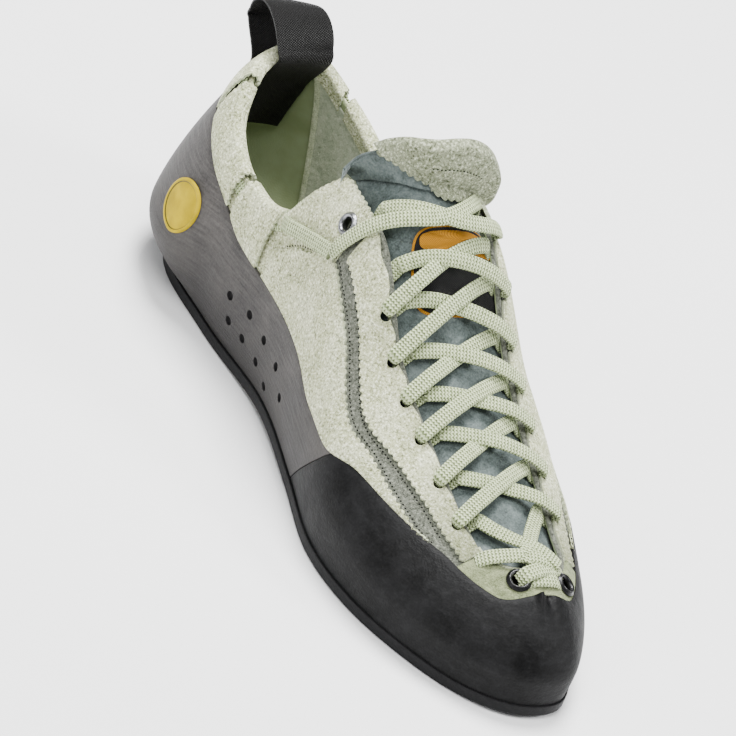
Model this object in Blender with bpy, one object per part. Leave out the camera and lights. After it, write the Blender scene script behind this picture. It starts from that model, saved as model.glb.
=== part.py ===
"""Climbing shoe for the right foot, standing empty on its sole.

Metres, +Z up. The toe points to -Y, the heel to +Y, and the outer side of the foot is at -X.
The origin is on the underside of the sole, below the ball of the foot.
"""
import math
from collections import namedtuple
from functools import lru_cache

import bmesh
import bpy
import numpy as np
from mathutils import Matrix, Vector

# Sizes of the last
LENGTH = 0.250            # toe tip to heel back, along the edge of the sole
BALL_WIDTH = 0.086        # across the sole at the ball
HEEL_WIDTH = 0.058        # across the sole at the heel
INSTEP_HEIGHT = 0.090     # instep above the floor, where the lacing ends
HEEL_HEIGHT = 0.084       # collar above the floor at the back of the heel
BALL_AT = 0.30            # the ball, as a share of the length from the toe
TOE_ROOT = 0.17           # front end of the ridge, where the toe's sections fan out
HEEL_ROOT = 0.87          # back end of the ridge, where the heel's sections fan out
HEEL_FROM, HEEL_TO = 0.50, 0.80   # the heel's width and height take over between these

# Thicknesses and gaps
CLEARANCE = 0.0003        # between pieces that touch on the real shoe
SOLE_THICKNESS = 0.0042
SOLE_LEDGE = 0.0008       # the sole's edge stands out from the rand by this
SOLE_BEVEL = 0.0009
INSOLE_THICKNESS = 0.0025
WALL = 0.0020             # suede and lining together
RAND_THICKNESS = 0.0012
EYESTAY_THICKNESS = 0.0012
CUFF_CROWN = 0.0012       # the cuff swells by this over the lace inside it
TONGUE_THICKNESS = 0.0032
TONGUE_GAP = 0.0008       # tongue to upper
TONGUE_LAP = 0.007        # the tongue reaches under the throat's edge by this
FLAP_HEIGHT = 0.0185       # the tongue's top flap stands above the lacing by this
FLAP_SPREAD = 0.0050      # each side of the flap spreads by this at its top
SEAM_GAP = 0.0004         # between neighbouring overlays
CUFF_GAP = 0.0030         # openings in the cuff where the lace shows

# Lace and its holes
LACE_WIDTH = 0.0054
LACE_THICKNESS = 0.0017
HOLE_DIAMETER = 0.0040
HOLE_INSET = 0.0048       # hole centre to the throat's edge
EYELET_OUTER = 0.0086
EYELET_INNER = 0.0046
EYELET_HEIGHT = 0.0011
LACE_REST = LACE_THICKNESS / 2 + 0.0008   # lace's middle above the leather that it lies on

# Heel loop, label, badge and vents
LOOP_WIDTH = 0.018
LOOP_THICKNESS = 0.0014
LOOP_RISE = 0.0135        # the loop's top above the collar
LOOP_ARCH = 0.013         # height of the loop's round top
LOOP_SPREAD = 0.0115      # half the distance between the loop's legs
LOOP_LAP = 0.024          # the loop's legs reach this far below the collar
LOOP_LEAN = 0.006         # the loop leans back by this
LOOP_STAND = 0.0020       # its inner leg stands off the lining by this more
LOOP_BOW = 0.0018         # its legs bend round the heel by this
LABEL_THICKNESS = 0.0005
BADGE_WIDTH = 0.016
BADGE_HEIGHT = 0.020
BADGE_THICKNESS = 0.0007
VENT_DIAMETER = 0.0028

# Stations round the plan, and rows up each station between the named lines
STATIONS = 80
RAND_ROWS = 3
QUARTER_ROWS = 2
STAY_ROWS = 3

Outline = namedtuple("Outline", "at across")
# Edge of the sole, from the heel back along the outer side to the toe and home along the inner side
OUTLINE = (
    Outline(1.000, -0.045), Outline(0.970, -0.34), Outline(0.90, -0.495), Outline(0.78, -0.500),
    Outline(0.62, -0.365), Outline(0.46, -0.395), Outline(0.33, -0.475), Outline(0.22, -0.445),
    Outline(0.12, -0.33), Outline(0.045, -0.185), Outline(0.006, -0.03), Outline(0.004, 0.14),
    Outline(0.035, 0.25), Outline(0.11, 0.37), Outline(0.22, 0.475), Outline(0.32, 0.51),
    Outline(0.46, 0.435), Outline(0.62, 0.39), Outline(0.78, 0.455), Outline(0.90, 0.415),
    Outline(0.972, 0.25))

Section = namedtuple("Section", "at ridge_x ridge wide bulge_out bulge_in full")
# ridge and wide: heights of the ridge and of the widest place; bulge: how far the side stands
# over the sole's edge; full: 2 is an ellipse above the widest place, more is squarer
SECTIONS = (
    Section(0.00, 0.14, 0.38, 0.09, 0.000, 0.005, 1.75),
    Section(0.17, 0.10, 0.43, 0.11, 0.008, 0.020, 1.80),
    Section(0.30, 0.07, 0.565, 0.14, 0.012, 0.040, 1.80),
    Section(0.42, 0.04, 0.75, 0.185, 0.035, 0.075, 2.05),
    Section(0.55, 0.005, 1.11, 0.22, 0.046, 0.080, 2.30),
    Section(0.66, 0.00, 1.23, 0.26, 0.045, 0.065, 2.25),
    Section(0.78, 0.00, 1.33, 0.27, 0.085, 0.065, 1.80),
    Section(0.87, 0.00, 1.38, 0.20, 0.190, 0.130, 1.55),
    Section(0.94, 0.00, 1.38, 0.19, 0.200, 0.150, 1.47),
    Section(1.00, 0.00, 1.38, 0.19, 0.185, 0.185, 1.47))

Lift = namedtuple("Lift", "at up")
# Underside of the sole above the floor: flat under the forefoot and under the heel
SOLE = (
    Lift(0.00, 0.012), Lift(0.08, 0.0), Lift(0.40, 0.0), Lift(0.58, 0.022), Lift(0.75, 0.0),
    Lift(0.93, 0.0), Lift(1.00, 0.02))

Edge = namedtuple("Edge", "at outer inner")
# Top line of the collar and the eyestay tabs; the throat cuts it short in front
COLLAR = (
    Edge(0.50, 1.60, 1.60), Edge(0.56, 1.08, 1.08), Edge(0.60, 1.05, 1.05), Edge(0.655, 1.03, 1.03),
    Edge(0.685, 0.92, 0.92), Edge(0.71, 0.755, 0.765), Edge(0.76, 0.705, 0.730), Edge(0.80, 0.715, 0.725),
    Edge(0.86, 0.800, 0.760), Edge(0.93, 0.930, 0.850), Edge(1.00, 1.00, 1.00))
# Top of the rubber rands
RAND = (
    Edge(0.00, 0.380, 0.380), Edge(0.06, 0.345, 0.335), Edge(0.20, 0.360, 0.310), Edge(0.33, 0.385, 0.300),
    Edge(0.40, 0.345, 0.300), Edge(0.47, 0.360, 0.310), Edge(0.55, 0.420, 0.360), Edge(0.68, 0.455, 0.440),
    Edge(0.76, 0.495, 0.500), Edge(0.84, 0.615, 0.600), Edge(0.92, 0.720, 0.690), Edge(1.00, 0.800, 0.800))
# Lower edge of the eyestays
EYESTAY = (
    Edge(0.15, 0.370, 0.370), Edge(0.20, 0.385, 0.385), Edge(0.32, 0.450, 0.450), Edge(0.42, 0.550, 0.550),
    Edge(0.47, 0.650, 0.650), Edge(0.53, 0.770, 0.770), Edge(0.59, 0.790, 0.790), Edge(0.65, 0.700, 0.700),
    Edge(0.70, 0.640, 0.640))

Throat = namedtuple("Throat", "at half")
# Half the width of the throat, as a share of the ball's width
THROAT = (
    Throat(0.00, 0.125), Throat(0.17, 0.185), Throat(0.30, 0.210), Throat(0.45, 0.238),
    Throat(0.66, 0.235), Throat(1.00, 0.235))

SEAM_AT = 0.41            # toe rand meets heel rand
STAY_FROM, STAY_TO = 0.15, 0.70   # ends of the eyestays
CUFF_CUTS = (0.70, 0.80, 0.93)    # openings of the cuff on each side
HOLES_AT = (0.472, 0.425, 0.376, 0.327, 0.268, 0.210)   # lace holes, from the top down
INNER_SHIFT = 0.015       # the inner holes sit this much nearer the heel
TOP_EYELET_AT = 0.600
TOE_EYELET_AT = (0.031, 0.060)    # outer and inner side
TOE_EYELET_INSET = 0.0232 * LENGTH   # toe eyelets below the throat's front edge
TOP_EYELET_INSET = 0.009
TOP_ROW = (0.528, 0.505)          # row below the tabs: its inner hole, and where laces end under the edges
TAB_START_AT = 0.586              # the outer lace runs on from here over the tab
TAB_END_AT = 0.578                # the top crossing's laces end under the tabs here
TAB_DIPS = (0.014, -0.001)        # its outer and inner laces dip forward by this in their middles
TAB_LACE_INSET = (0.0125, 0.0190)  # the lace on the outer tab runs this far below the top edge
SIDE_LACE = (0.692, 0.600)        # from the sleeve's front end to the top eyelet
TOE_BAR_AT, TOE_BAR_INSET = 0.126, 0.003    # the toe bar leaves the eyestay's front end here
BADGE_AT, BADGE_UP = 0.868, 0.415

Vent = namedtuple("Vent", "at up")
# Vent holes in the outer side of the heel rand: heights as shares of the heel's height
VENTS = (
    Vent(0.733, 0.29), Vent(0.685, 0.31), Vent(0.722, 0.19), Vent(0.685, 0.19), Vent(0.637, 0.30),
    Vent(0.641, 0.18), Vent(0.585, 0.295), Vent(0.605, 0.145), Vent(0.546, 0.235))

TongueRow = namedtuple("TongueRow", "along at back_out back_in lap")
# Rows of the tongue: where its middle is, how far its sides reach towards the heel, and how far
# they reach under the throat's edge as a share of TONGUE_LAP
TONGUE = (
    TongueRow(0.0, 0.135, 0.000, 0.000, 1.0), TongueRow(0.5, 0.36, 0.000, 0.000, 1.0),
    TongueRow(0.8, 0.49, 0.013, 0.004, 0.7), TongueRow(1.0, 0.578, 0.052, 0.012, -0.25))
TONGUE_ROWS = 10
TONGUE_COLUMNS = 10
FLAP_ROWS = 3
LABEL_ROWS, LABEL_COLUMNS = (7, 9), (2, 8)   # the label's place on the tongue's grid

OUTER, INNER = -1, 1      # the outer side of the foot is at -X


def smooth(at, xs, ys):
    """Monotone cubic through the points (xs, ys)."""
    xs, ys = np.asarray(xs, float), np.asarray(ys, float)
    at = np.clip(at, xs[0], xs[-1])
    step = np.diff(xs)
    slope = np.diff(ys) / step
    before, after = slope[:-1], slope[1:]
    tangent = np.zeros_like(ys)
    same_way = before * after > 0
    total = np.where(same_way, before + after, 1.0)
    tangent[1:-1] = np.where(same_way, 2 * before * after / total, 0.0)
    tangent[0], tangent[-1] = slope[0], slope[-1]
    i = np.clip(np.searchsorted(xs, at, side="right") - 1, 0, len(step) - 1)
    t = (at - xs[i]) / step[i]
    return ((1 + 2 * t) * (1 - t) ** 2 * ys[i] + t * (1 - t) ** 2 * step[i] * tangent[i]
            + t * t * (3 - 2 * t) * ys[i + 1] + t * t * (t - 1) * step[i] * tangent[i + 1])


def column(rows, name, at):
    """Value of a table's column at a share of the length."""
    return smooth(at, [row[0] for row in rows], [getattr(row, name) for row in rows])


def heel_part(at):
    """0 over the forefoot, 1 over the heel, with a soft change between."""
    t = np.clip((at - HEEL_FROM) / (HEEL_TO - HEEL_FROM), 0, 1)
    return t * t * (3 - 2 * t)


def width_at(at):
    return BALL_WIDTH + (HEEL_WIDTH - BALL_WIDTH) * heel_part(at)


def height_at(at):
    return INSTEP_HEIGHT + (HEEL_HEIGHT - INSTEP_HEIGHT) * heel_part(at)


def y_of(at):
    return (at - BALL_AT) * LENGTH


def share_of(y):
    return y / LENGTH + BALL_AT


def sole_under(at):
    return column(SOLE, "up", at) * INSTEP_HEIGHT


def sole_over(at):
    return sole_under(at) + SOLE_THICKNESS


def trace_outline(steps=24):
    """The sole's edge as a dense closed line through the outline's rows, and the run along it."""
    rows = np.array([(row.across * width_at(row.at), y_of(row.at)) for row in OUTLINE])
    t = np.linspace(0, 1, steps, endpoint=False)[:, None]
    line = []
    for i in range(len(rows)):
        a, b, c, d = (rows[(i + k) % len(rows)] for k in (-1, 0, 1, 2))
        line.append(0.5 * (2 * b + (c - a) * t + (2 * a - 5 * b + 4 * c - d) * t ** 2
                           + (3 * b - a - 3 * c + d) * t ** 3))
    line = np.vstack(line + [rows[:1]])
    run = np.concatenate([[0], np.cumsum(np.linalg.norm(np.diff(line, axis=0), axis=1))])
    return line, run / run[-1] * STATIONS


EDGE_LINE, EDGE_RUN = trace_outline()
TOE_STATION = float(EDGE_RUN[np.argmin(EDGE_LINE[:, 1])])


def edge_point(u):
    """Point of the sole's edge at station u, which may lie between two stations."""
    u = u % STATIONS
    return np.array([np.interp(u, EDGE_RUN, EDGE_LINE[:, 0]), np.interp(u, EDGE_RUN, EDGE_LINE[:, 1])])


def root_of(at):
    """Plan point of the ridge that a section at this share of the length starts from."""
    root = float(np.clip(at, TOE_ROOT, HEEL_ROOT))
    return np.array([column(SECTIONS, "ridge_x", root) * width_at(root), y_of(root)]), root


class Station:
    """Half section of the last, from the sole's edge over the side and up to the ridge."""

    LOW, HIGH = 8, 40

    def __init__(self, u):
        self.u = u
        edge = edge_point(u)
        self.share = float(share_of(edge[1]))
        self.root, root = root_of(self.share)
        reach = np.linalg.norm(edge - self.root)
        self.way = (edge - self.root) / reach
        self.reach = reach
        self.side = OUTER if edge[0] < self.root[0] else INNER
        self.foot = sole_over(self.share) + CLEARANCE
        height = height_at(self.share)
        ridge = column(SECTIONS, "ridge", root) * height_at(root)
        wide = column(SECTIONS, "wide", self.share) * height + self.foot
        inward = 0.5 + 0.5 * math.tanh(self.way[0] * 3)
        bulge = (column(SECTIONS, "bulge_out", self.share) * (1 - inward)
                 + column(SECTIONS, "bulge_in", self.share) * inward) * width_at(self.share)
        power = 2 / column(SECTIONS, "full", self.share)
        near = reach - SOLE_LEDGE
        low = np.linspace(0, 1, self.LOW, endpoint=False)
        high = np.linspace(0, math.pi / 2, self.HIGH)
        self.r = np.concatenate([near + bulge * (1 - (1 - low) ** 2), (near + bulge) * np.cos(high) ** power])
        self.z = np.concatenate([self.foot + (wide - self.foot) * low, wide + (ridge - wide) * np.sin(high) ** power])
        self.r[-1] = 0
        run = np.hypot(np.diff(self.r), np.diff(self.z))
        self.arc = np.concatenate([[0], np.cumsum(run)])
        self.height = height

    def at_height(self, z):
        return float(np.interp(z, self.z, self.arc))

    def at_reach(self, r):
        return float(np.interp(-r, -self.r[self.LOW:], self.arc[self.LOW:]))

    def point(self, arc, out=0.0):
        """Point of the section this far up it, moved out from the surface."""
        step = 0.0008
        a, b = max(arc - step, 0), min(arc + step, self.arc[-1])
        dr = np.interp(b, self.arc, self.r) - np.interp(a, self.arc, self.r)
        dz = np.interp(b, self.arc, self.z) - np.interp(a, self.arc, self.z)
        size = math.hypot(dr, dz)
        r = np.interp(arc, self.arc, self.r) + out * dz / size
        z = np.interp(arc, self.arc, self.z) - out * dr / size
        return np.array([*(self.root + self.way * r), z])

    def line(self, rows):
        """Arc of a named line, given as a share of the height, on this side of the shoe."""
        inward = 0.5 + 0.5 * math.tanh(self.way[0] * 6)
        share = (column(rows, "outer", self.share) * (1 - inward) + column(rows, "inner", self.share) * inward)
        return self.at_height(share * self.height)

    @property
    def top(self):
        throat = self.at_reach(column(THROAT, "half", self.share) * BALL_WIDTH)
        return throat if self.share < COLLAR[0].at else min(self.line(COLLAR), throat)

    @property
    def rand(self):
        return self.line(RAND)

    @property
    def middle(self):
        """Lower edge of the eyestay, or the middle of the leather where there is none."""
        if STAY_FROM - 0.001 <= self.share <= STAY_TO:
            return max(self.line(EYESTAY), self.rand + 2 * SEAM_GAP)
        return (self.rand + self.top) / 2


@lru_cache(maxsize=None)
def station(u):
    return Station(u)


def station_at(at, side):
    """Station number at a share of the length, on one side of the shoe."""
    us = np.linspace(0, TOE_STATION, 400) if side == OUTER else np.linspace(TOE_STATION, STATIONS, 400)
    ys = [edge_point(u)[1] for u in us]
    order = np.argsort(ys)
    return float(np.interp(y_of(at), np.array(ys)[order], us[order]))


def over(x, y):
    """Height of the last's skin above a plan point."""
    root, _ = root_of(share_of(y))
    away = np.array([x, y]) - root
    reach = np.linalg.norm(away)
    if reach < 1e-4:
        away, reach = np.array([1e-5, 0.0]), 1e-5
    rel = EDGE_LINE - root
    turn = away[0] * rel[:, 1] - away[1] * rel[:, 0]
    ahead = rel @ away > 0
    hit = np.where((turn[:-1] * turn[1:] <= 0) & ahead[:-1])[0][0]
    part = turn[hit] / (turn[hit] - turn[hit + 1] + 1e-15)
    place = station(round(float(EDGE_RUN[hit] + part * (EDGE_RUN[hit + 1] - EDGE_RUN[hit])), 4))
    return float(np.interp(-reach, -place.r[place.LOW:], place.z[place.LOW:]))


def skin(x, y):
    """Point of the last's skin above a plan point, and the normal there."""
    step = 0.0015
    slope_x = (over(x + step, y) - over(x - step, y)) / (2 * step)
    slope_y = (over(x, y + step) - over(x, y - step)) / (2 * step)
    normal = np.array([-slope_x, -slope_y, 1.0])
    return np.array([x, y, over(x, y)]), normal / np.linalg.norm(normal)


RAND_IN = -RAND_THICKNESS
UPPER_OUT = RAND_IN - CLEARANCE
UPPER_IN = UPPER_OUT - WALL
STAY_IN = UPPER_OUT + CLEARANCE
STAY_OUT = STAY_IN + EYESTAY_THICKNESS
TONGUE_OUT = UPPER_IN - TONGUE_GAP


def make_material(name, colour, roughness, metallic=0.0):
    material = bpy.data.materials.new(name)
    material.use_nodes = True
    shader = material.node_tree.nodes["Principled BSDF"]
    shader.inputs["Base Color"].default_value = (*colour, 1.0)
    shader.inputs["Roughness"].default_value = roughness
    shader.inputs["Metallic"].default_value = metallic
    return material


def add_object(name, mesh_builder, material):
    """Object of one name from a bmesh, with its faces pointing out."""
    bmesh.ops.recalc_face_normals(mesh_builder, faces=mesh_builder.faces)
    if mesh_builder.calc_volume(signed=True) < 0:
        bmesh.ops.reverse_faces(mesh_builder, faces=mesh_builder.faces)
    mesh = bpy.data.meshes.new(name)
    mesh_builder.to_mesh(mesh)
    mesh_builder.free()
    mesh.shade_smooth()
    mesh.set_sharp_from_angle(angle=math.radians(40))
    piece = bpy.data.objects.new(name, mesh)
    bpy.context.collection.objects.link(piece)
    mesh.materials.append(material)
    return piece


def hide_tool(piece):
    piece.hide_render = True
    piece.display_type = "WIRE"


def combine(piece, other, operation):
    modifier = piece.modifiers.new(operation.lower() + "_" + other.name, "BOOLEAN")
    modifier.operation = operation
    modifier.solver = "EXACT"
    modifier.object = other
    hide_tool(other)


def solid_between(name, face, back, closed, material):
    """Closed solid between two grids of points, [station][row], with walls round its borders."""
    build = bmesh.new()
    rows, columns = len(face), len(face[0])
    front = [[build.verts.new(p) for p in line] for line in face]
    rear = [[build.verts.new(p) for p in line] for line in back]
    last = rows if closed else rows - 1
    for i in range(last):
        k = (i + 1) % rows
        for j in range(columns - 1):
            build.faces.new((front[i][j], front[i][j + 1], front[k][j + 1], front[k][j]))
            build.faces.new((rear[i][j], rear[k][j], rear[k][j + 1], rear[i][j + 1]))
        for j in (0, columns - 1):
            build.faces.new((front[i][j], front[k][j], rear[k][j], rear[i][j]))
    if not closed:
        for i in (0, rows - 1):
            for j in range(columns - 1):
                build.faces.new((front[i][j], rear[i][j], rear[i][j + 1], front[i][j + 1]))
    return add_object(name, build, material)


def spread(low, high, rows):
    return list(np.linspace(low, high, rows + 1))


def rand_rows(place):
    """Rows of a rand, closer together at the foot, where it bulges."""
    return [place.rand * (k / RAND_ROWS) ** 1.5 for k in range(RAND_ROWS + 1)]


def upper_rows(place):
    return (rand_rows(place) + spread(place.rand, place.middle, QUARTER_ROWS)[1:]
            + spread(place.middle, place.top, STAY_ROWS)[1:])


def stay_rows(place):
    return spread(place.middle, place.top, STAY_ROWS)


def cuff_rows(place):
    return (spread(place.rand + SEAM_GAP, place.middle, QUARTER_ROWS)
            + spread(place.middle, place.top, STAY_ROWS)[1:])


def run_between(start, end):
    """Stations from start to end, which may pass the heel back, keeping the whole ones between."""
    if end < start:
        end += STATIONS
    inside = [u for u in range(math.floor(start) + 1, math.ceil(end)) if start + 0.15 < u < end - 0.15]
    return [start] + inside + [end]


def band(name, stations, rows, inner, outer, material, closed=False, crown=0.0):
    """Solid cut from the last's own skin, between two offsets, over some stations and rows."""
    face, back = [], []
    for u in stations:
        place = station(round(float(u % STATIONS), 4))
        arcs = rows(place)
        swell = [crown * math.sin(math.pi * k / (len(arcs) - 1)) for k in range(len(arcs))]
        face.append([place.point(arc, outer + more) for arc, more in zip(arcs, swell)])
        back.append([place.point(arc, inner) for arc in arcs])
    return solid_between(name, face, back, closed, material)


def drill(name, at, way, diameter, depth, sides=10):
    """Round cutter with its middle at a point, along a direction."""
    build = bmesh.new()
    bmesh.ops.create_cone(build, cap_ends=True, segments=sides, radius1=diameter / 2, radius2=diameter / 2,
                          depth=depth)
    turn = Vector(way).to_track_quat("Z", "Y").to_matrix().to_4x4()
    build.transform(Matrix.Translation(Vector(at)) @ turn)
    piece = add_object(name, build, CUTTER)
    hide_tool(piece)
    return piece


def facing(u, arc):
    """Direction out of the skin at a station and an arc."""
    along = station(round(u + 0.4, 4)).point(arc) - station(round(u - 0.4, 4)).point(arc)
    place = station(round(u, 4))
    upward = place.point(arc + 0.001) - place.point(arc - 0.001)
    way = np.cross(along, upward)
    return way / np.linalg.norm(way)


def plan_solid(name, outline, low, high, bevel, material):
    """Sole-shaped solid: a prism over an outline, cut across every few mm and bent to the arch."""
    build = bmesh.new()
    middle = outline.mean(axis=0)
    inset = outline - bevel * (outline - middle) / np.linalg.norm(outline - middle, axis=1)[:, None]
    levels = [(inset, low), (outline, low + bevel), (outline, high)] if bevel else [(outline, low), (outline, high)]
    loops = [[build.verts.new((*p, z)) for p in ring] for ring, z in levels]
    count = len(outline)
    for lower, upper in zip(loops[:-1], loops[1:]):
        for i in range(count):
            k = (i + 1) % count
            build.faces.new((lower[i], lower[k], upper[k], upper[i]))
    build.faces.new(loops[0])
    build.faces.new(loops[-1])
    spacing = LENGTH / 24
    for k in range(1, 24):
        y = y_of(0) + k * spacing
        bmesh.ops.bisect_plane(build, geom=build.verts[:] + build.edges[:] + build.faces[:],
                               plane_co=(0, y, 0), plane_no=(0, 1, 0), dist=1e-5)
    for vert in build.verts:
        vert.co.z += float(sole_under(share_of(vert.co.y)))
    return add_object(name, build, material)


def make_outsole(material):
    outline = np.array([edge_point(u) for u in range(STATIONS)])
    return plan_solid("outsole", outline, 0.0, SOLE_THICKNESS, SOLE_BEVEL, material)


def make_insole(material):
    """Board inside the upper, lying on the sole."""
    outline = []
    for u in range(0, STATIONS, 2):
        place = station(u)
        outline.append(place.root + place.way * (place.reach - SOLE_LEDGE + UPPER_IN - 2 * CLEARANCE))
    low = SOLE_THICKNESS + CLEARANCE
    return plan_solid("insole", np.array(outline), low, low + INSOLE_THICKNESS, 0.0, material)


def tongue_grid():
    """Rows of places across the tongue: how far out to the side, the skin's point and its normal."""
    grid = []
    for i in range(TONGUE_ROWS + 1):
        along = i / TONGUE_ROWS
        at = column(TONGUE, "at", along)
        back = {OUTER: column(TONGUE, "back_out", along), INNER: column(TONGUE, "back_in", along)}
        half = column(THROAT, "half", at) * BALL_WIDTH + TONGUE_LAP * column(TONGUE, "lap", along)
        middle = root_of(at)[0][0]
        line = []
        for j in range(TONGUE_COLUMNS + 1):
            c = 2 * j / TONGUE_COLUMNS - 1
            reach = back[OUTER if c < 0 else INNER] * LENGTH * abs(c) ** 2.2
            line.append((c, *skin(middle + half * c, y_of(at) + reach)))
        grid.append(line)
    return grid


def make_tongue(grid, material):
    """Padded tongue under the throat, ending in a flap that stands above the lacing."""
    face = [[p + n * TONGUE_OUT for _, p, n in line] for line in grid]
    back = [[p + n * (TONGUE_OUT - TONGUE_THICKNESS) for _, p, n in line] for line in grid]
    for k in range(1, FLAP_ROWS + 1):
        share = k / FLAP_ROWS
        flap_face, flap_back = [], []
        for (c, _, _), front, rear in zip(grid[-1], face[TONGUE_ROWS], back[TONGUE_ROWS]):
            tall = FLAP_HEIGHT * (1 - 0.15 * c ** 4) * share
            rise = np.array([FLAP_SPREAD * c * share, tall * (0.12 - 0.15 * c * c), tall])
            flap_face.append(front + rise)
            flap_back.append(rear + rise)
        face.append(flap_face)
        back.append(flap_back)
    return solid_between("tongue", face, back, False, material)


def make_label(grid, material):
    """Plain patch on the tongue, cut from the tongue's own grid."""
    lines = [line[LABEL_COLUMNS[0]:LABEL_COLUMNS[1] + 1] for line in grid[LABEL_ROWS[0]:LABEL_ROWS[1] + 1]]
    low = TONGUE_OUT + CLEARANCE
    face = [[p + n * (low + LABEL_THICKNESS) for _, p, n in line] for line in lines]
    back = [[p + n * low for _, p, n in line] for line in lines]
    return solid_between("tongue_label", face, back, False, material)


def sweep(name, points, normals, width, thickness, material, bows=None):
    """Flat cord or webbing along points, lying across the normals, with rounded long edges.

    bows bend its two edges along the normal, one value for each point.
    """
    points = np.array(points, float)
    tangents = np.gradient(points, axis=0)
    build = bmesh.new()
    flat, round_off = width / 2, thickness / 2
    low = flat - round_off * 0.6
    profile = [(-flat, 0), (-low, round_off), (low, round_off), (flat, 0), (low, -round_off), (-low, -round_off)]
    if bows is None:
        bows = [0.0] * len(points)
    else:
        profile[5:5] = [(0.0, -round_off)]
        profile[2:2] = [(0.0, round_off)]
    rings = []
    for point, tangent, normal, bow in zip(points, tangents, normals, bows):
        tangent = tangent / np.linalg.norm(tangent)
        side = np.cross(tangent, normal)
        side /= np.linalg.norm(side)
        up = np.cross(side, tangent)
        rings.append([build.verts.new(point + side * a + up * (b + bow * (a / flat) ** 2)) for a, b in profile])
    for lower, upper in zip(rings[:-1], rings[1:]):
        for i in range(len(lower)):
            k = (i + 1) % len(lower)
            build.faces.new((lower[i], lower[k], upper[k], upper[i]))
    build.faces.new(rings[0])
    build.faces.new(rings[-1])
    return add_object(name, build, material)


def hole_place(at, side, inset):
    """Station and arc of a lace hole: this far below the throat's edge."""
    place = station(round(station_at(at, side), 4))
    return place, place.top - inset


def lace_bar(name, start, end, outs, material, dip=0.0):
    """Lace over the throat from one plan point to another, at given heights over the skin."""
    points, normals = [], []
    for k, out in enumerate(outs):
        t = k / (len(outs) - 1)
        x, y = start + (end - start) * t - np.array([0.0, 4 * dip * t * (1 - t)])
        point, normal = skin(x, y)
        points.append(point + normal * out)
        normals.append(normal)
    return sweep(name, points, normals, LACE_WIDTH, LACE_THICKNESS, material)


def plan(place, arc):
    return place.point(arc)[:2]


BAR_HIGH = (1.0, 1.1, 0.70, 0.10, -0.50, -0.80, -0.90)    # rises onto the leather at its start
BAR_LOW = (1.0, 1.0, 0.10, -0.90, -1.05, -1.05, -0.95)
BAR_TAB = (1.0, 1.1, 1.1, 1.0, 0.6, 0.3, 0.1, -0.1, -0.3)    # over the outer tab, then level
BAR_OVER = (1.0, 1.1, 0.8, 0.5, 0.1, -0.2, -0.5)    # over it and under the outer tab
BAR_TOE = (0.1, 0.5, 0.8, 1.0, 1.0, 0.7, 0.2)     # over both of the others at the toe
EDGE_MARGIN = 0.0042      # a bar's far end stops this far from the throat's edge


def bar_outs(shape):
    return [LACE_REST * k if k > 0 else LACE_THICKNESS * k for k in shape]


def make_laces(material):
    """Crossings over the throat: each bar leaves one hole and runs to the other side's edge."""
    ends = {}
    for side, toe_at in ((OUTER, TOE_EYELET_AT[0]), (INNER, TOE_EYELET_AT[1])):
        shift = INNER_SHIFT if side == INNER else 0.0
        holes = [hole_place(at + shift, side, HOLE_INSET) for at in (TOP_ROW[0], *HOLES_AT)]
        edges = [hole_place(at + shift, side, -EDGE_MARGIN) for at in (TOP_ROW[1], *HOLES_AT)]
        toe_place, toe_arc = hole_place(toe_at, side, TOE_EYELET_INSET)
        starts = [plan(*hole) for hole in holes] + [plan(toe_place, toe_arc + EYELET_OUTER / 2 + LACE_THICKNESS)]
        stops = [plan(*hole_place(TAB_END_AT, side, -EDGE_MARGIN))] + [plan(*edge) for edge in edges]
        ends[side] = list(zip(starts, stops))
    ends[OUTER][0] = (plan(*hole_place(TAB_START_AT, OUTER, TAB_LACE_INSET[1])), ends[OUTER][0][1])
    for number in range(len(ends[OUTER])):
        name = f"lace_crossing_{number}"
        outer_top = number % 2 == 0 and number > 0
        first = lace_bar(name, ends[OUTER][number][0], ends[INNER][number][1],
                         bar_outs(BAR_HIGH if outer_top else BAR_LOW if number else BAR_TAB), material,
                         0.0 if number else TAB_DIPS[0])
        second = lace_bar(name + "_second", ends[INNER][number][0], ends[OUTER][number][1],
                          bar_outs(BAR_LOW if outer_top else BAR_HIGH if number else BAR_OVER), material,
                          0.0 if number else TAB_DIPS[1])
        combine(first, second, "UNION")
    corner = hole_place(TOE_BAR_AT, OUTER, TOE_BAR_INSET)
    third = lace_bar("lace_toe_bar", plan(*corner), ends[INNER][-1][0], bar_outs(BAR_TOE), material)
    combine(first, third, "UNION")


def make_side_lace(name, side, material):
    """Lace from the sleeve round the collar to the top eyelet, lying on the eyestay's tab."""
    points, normals = [], []
    count = 5
    for k in range(count + 1):
        t = k / count
        at = SIDE_LACE[0] + (SIDE_LACE[1] - SIDE_LACE[0]) * t
        place = station(round(station_at(at, side), 4))
        arc = place.top - (TAB_LACE_INSET[0] + (TAB_LACE_INSET[1] - TAB_LACE_INSET[0]) * t)
        points.append(place.point(arc, STAY_OUT + LACE_REST))
        normals.append(facing(place.u, arc))
    return sweep(name, points, normals, LACE_WIDTH, LACE_THICKNESS, material)


def punch(pieces, diameter, at, side, inset, sides=8):
    """Round hole through pieces at a lace hole."""
    place, arc = hole_place(at, side, inset)
    name = f"hole_{'outer' if side == OUTER else 'inner'}_{round(at * 1000)}"
    cutter = drill(name, place.point(arc, UPPER_OUT), facing(place.u, arc), diameter, 0.008, sides)
    for piece in pieces:
        combine(piece, cutter, "DIFFERENCE")


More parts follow.
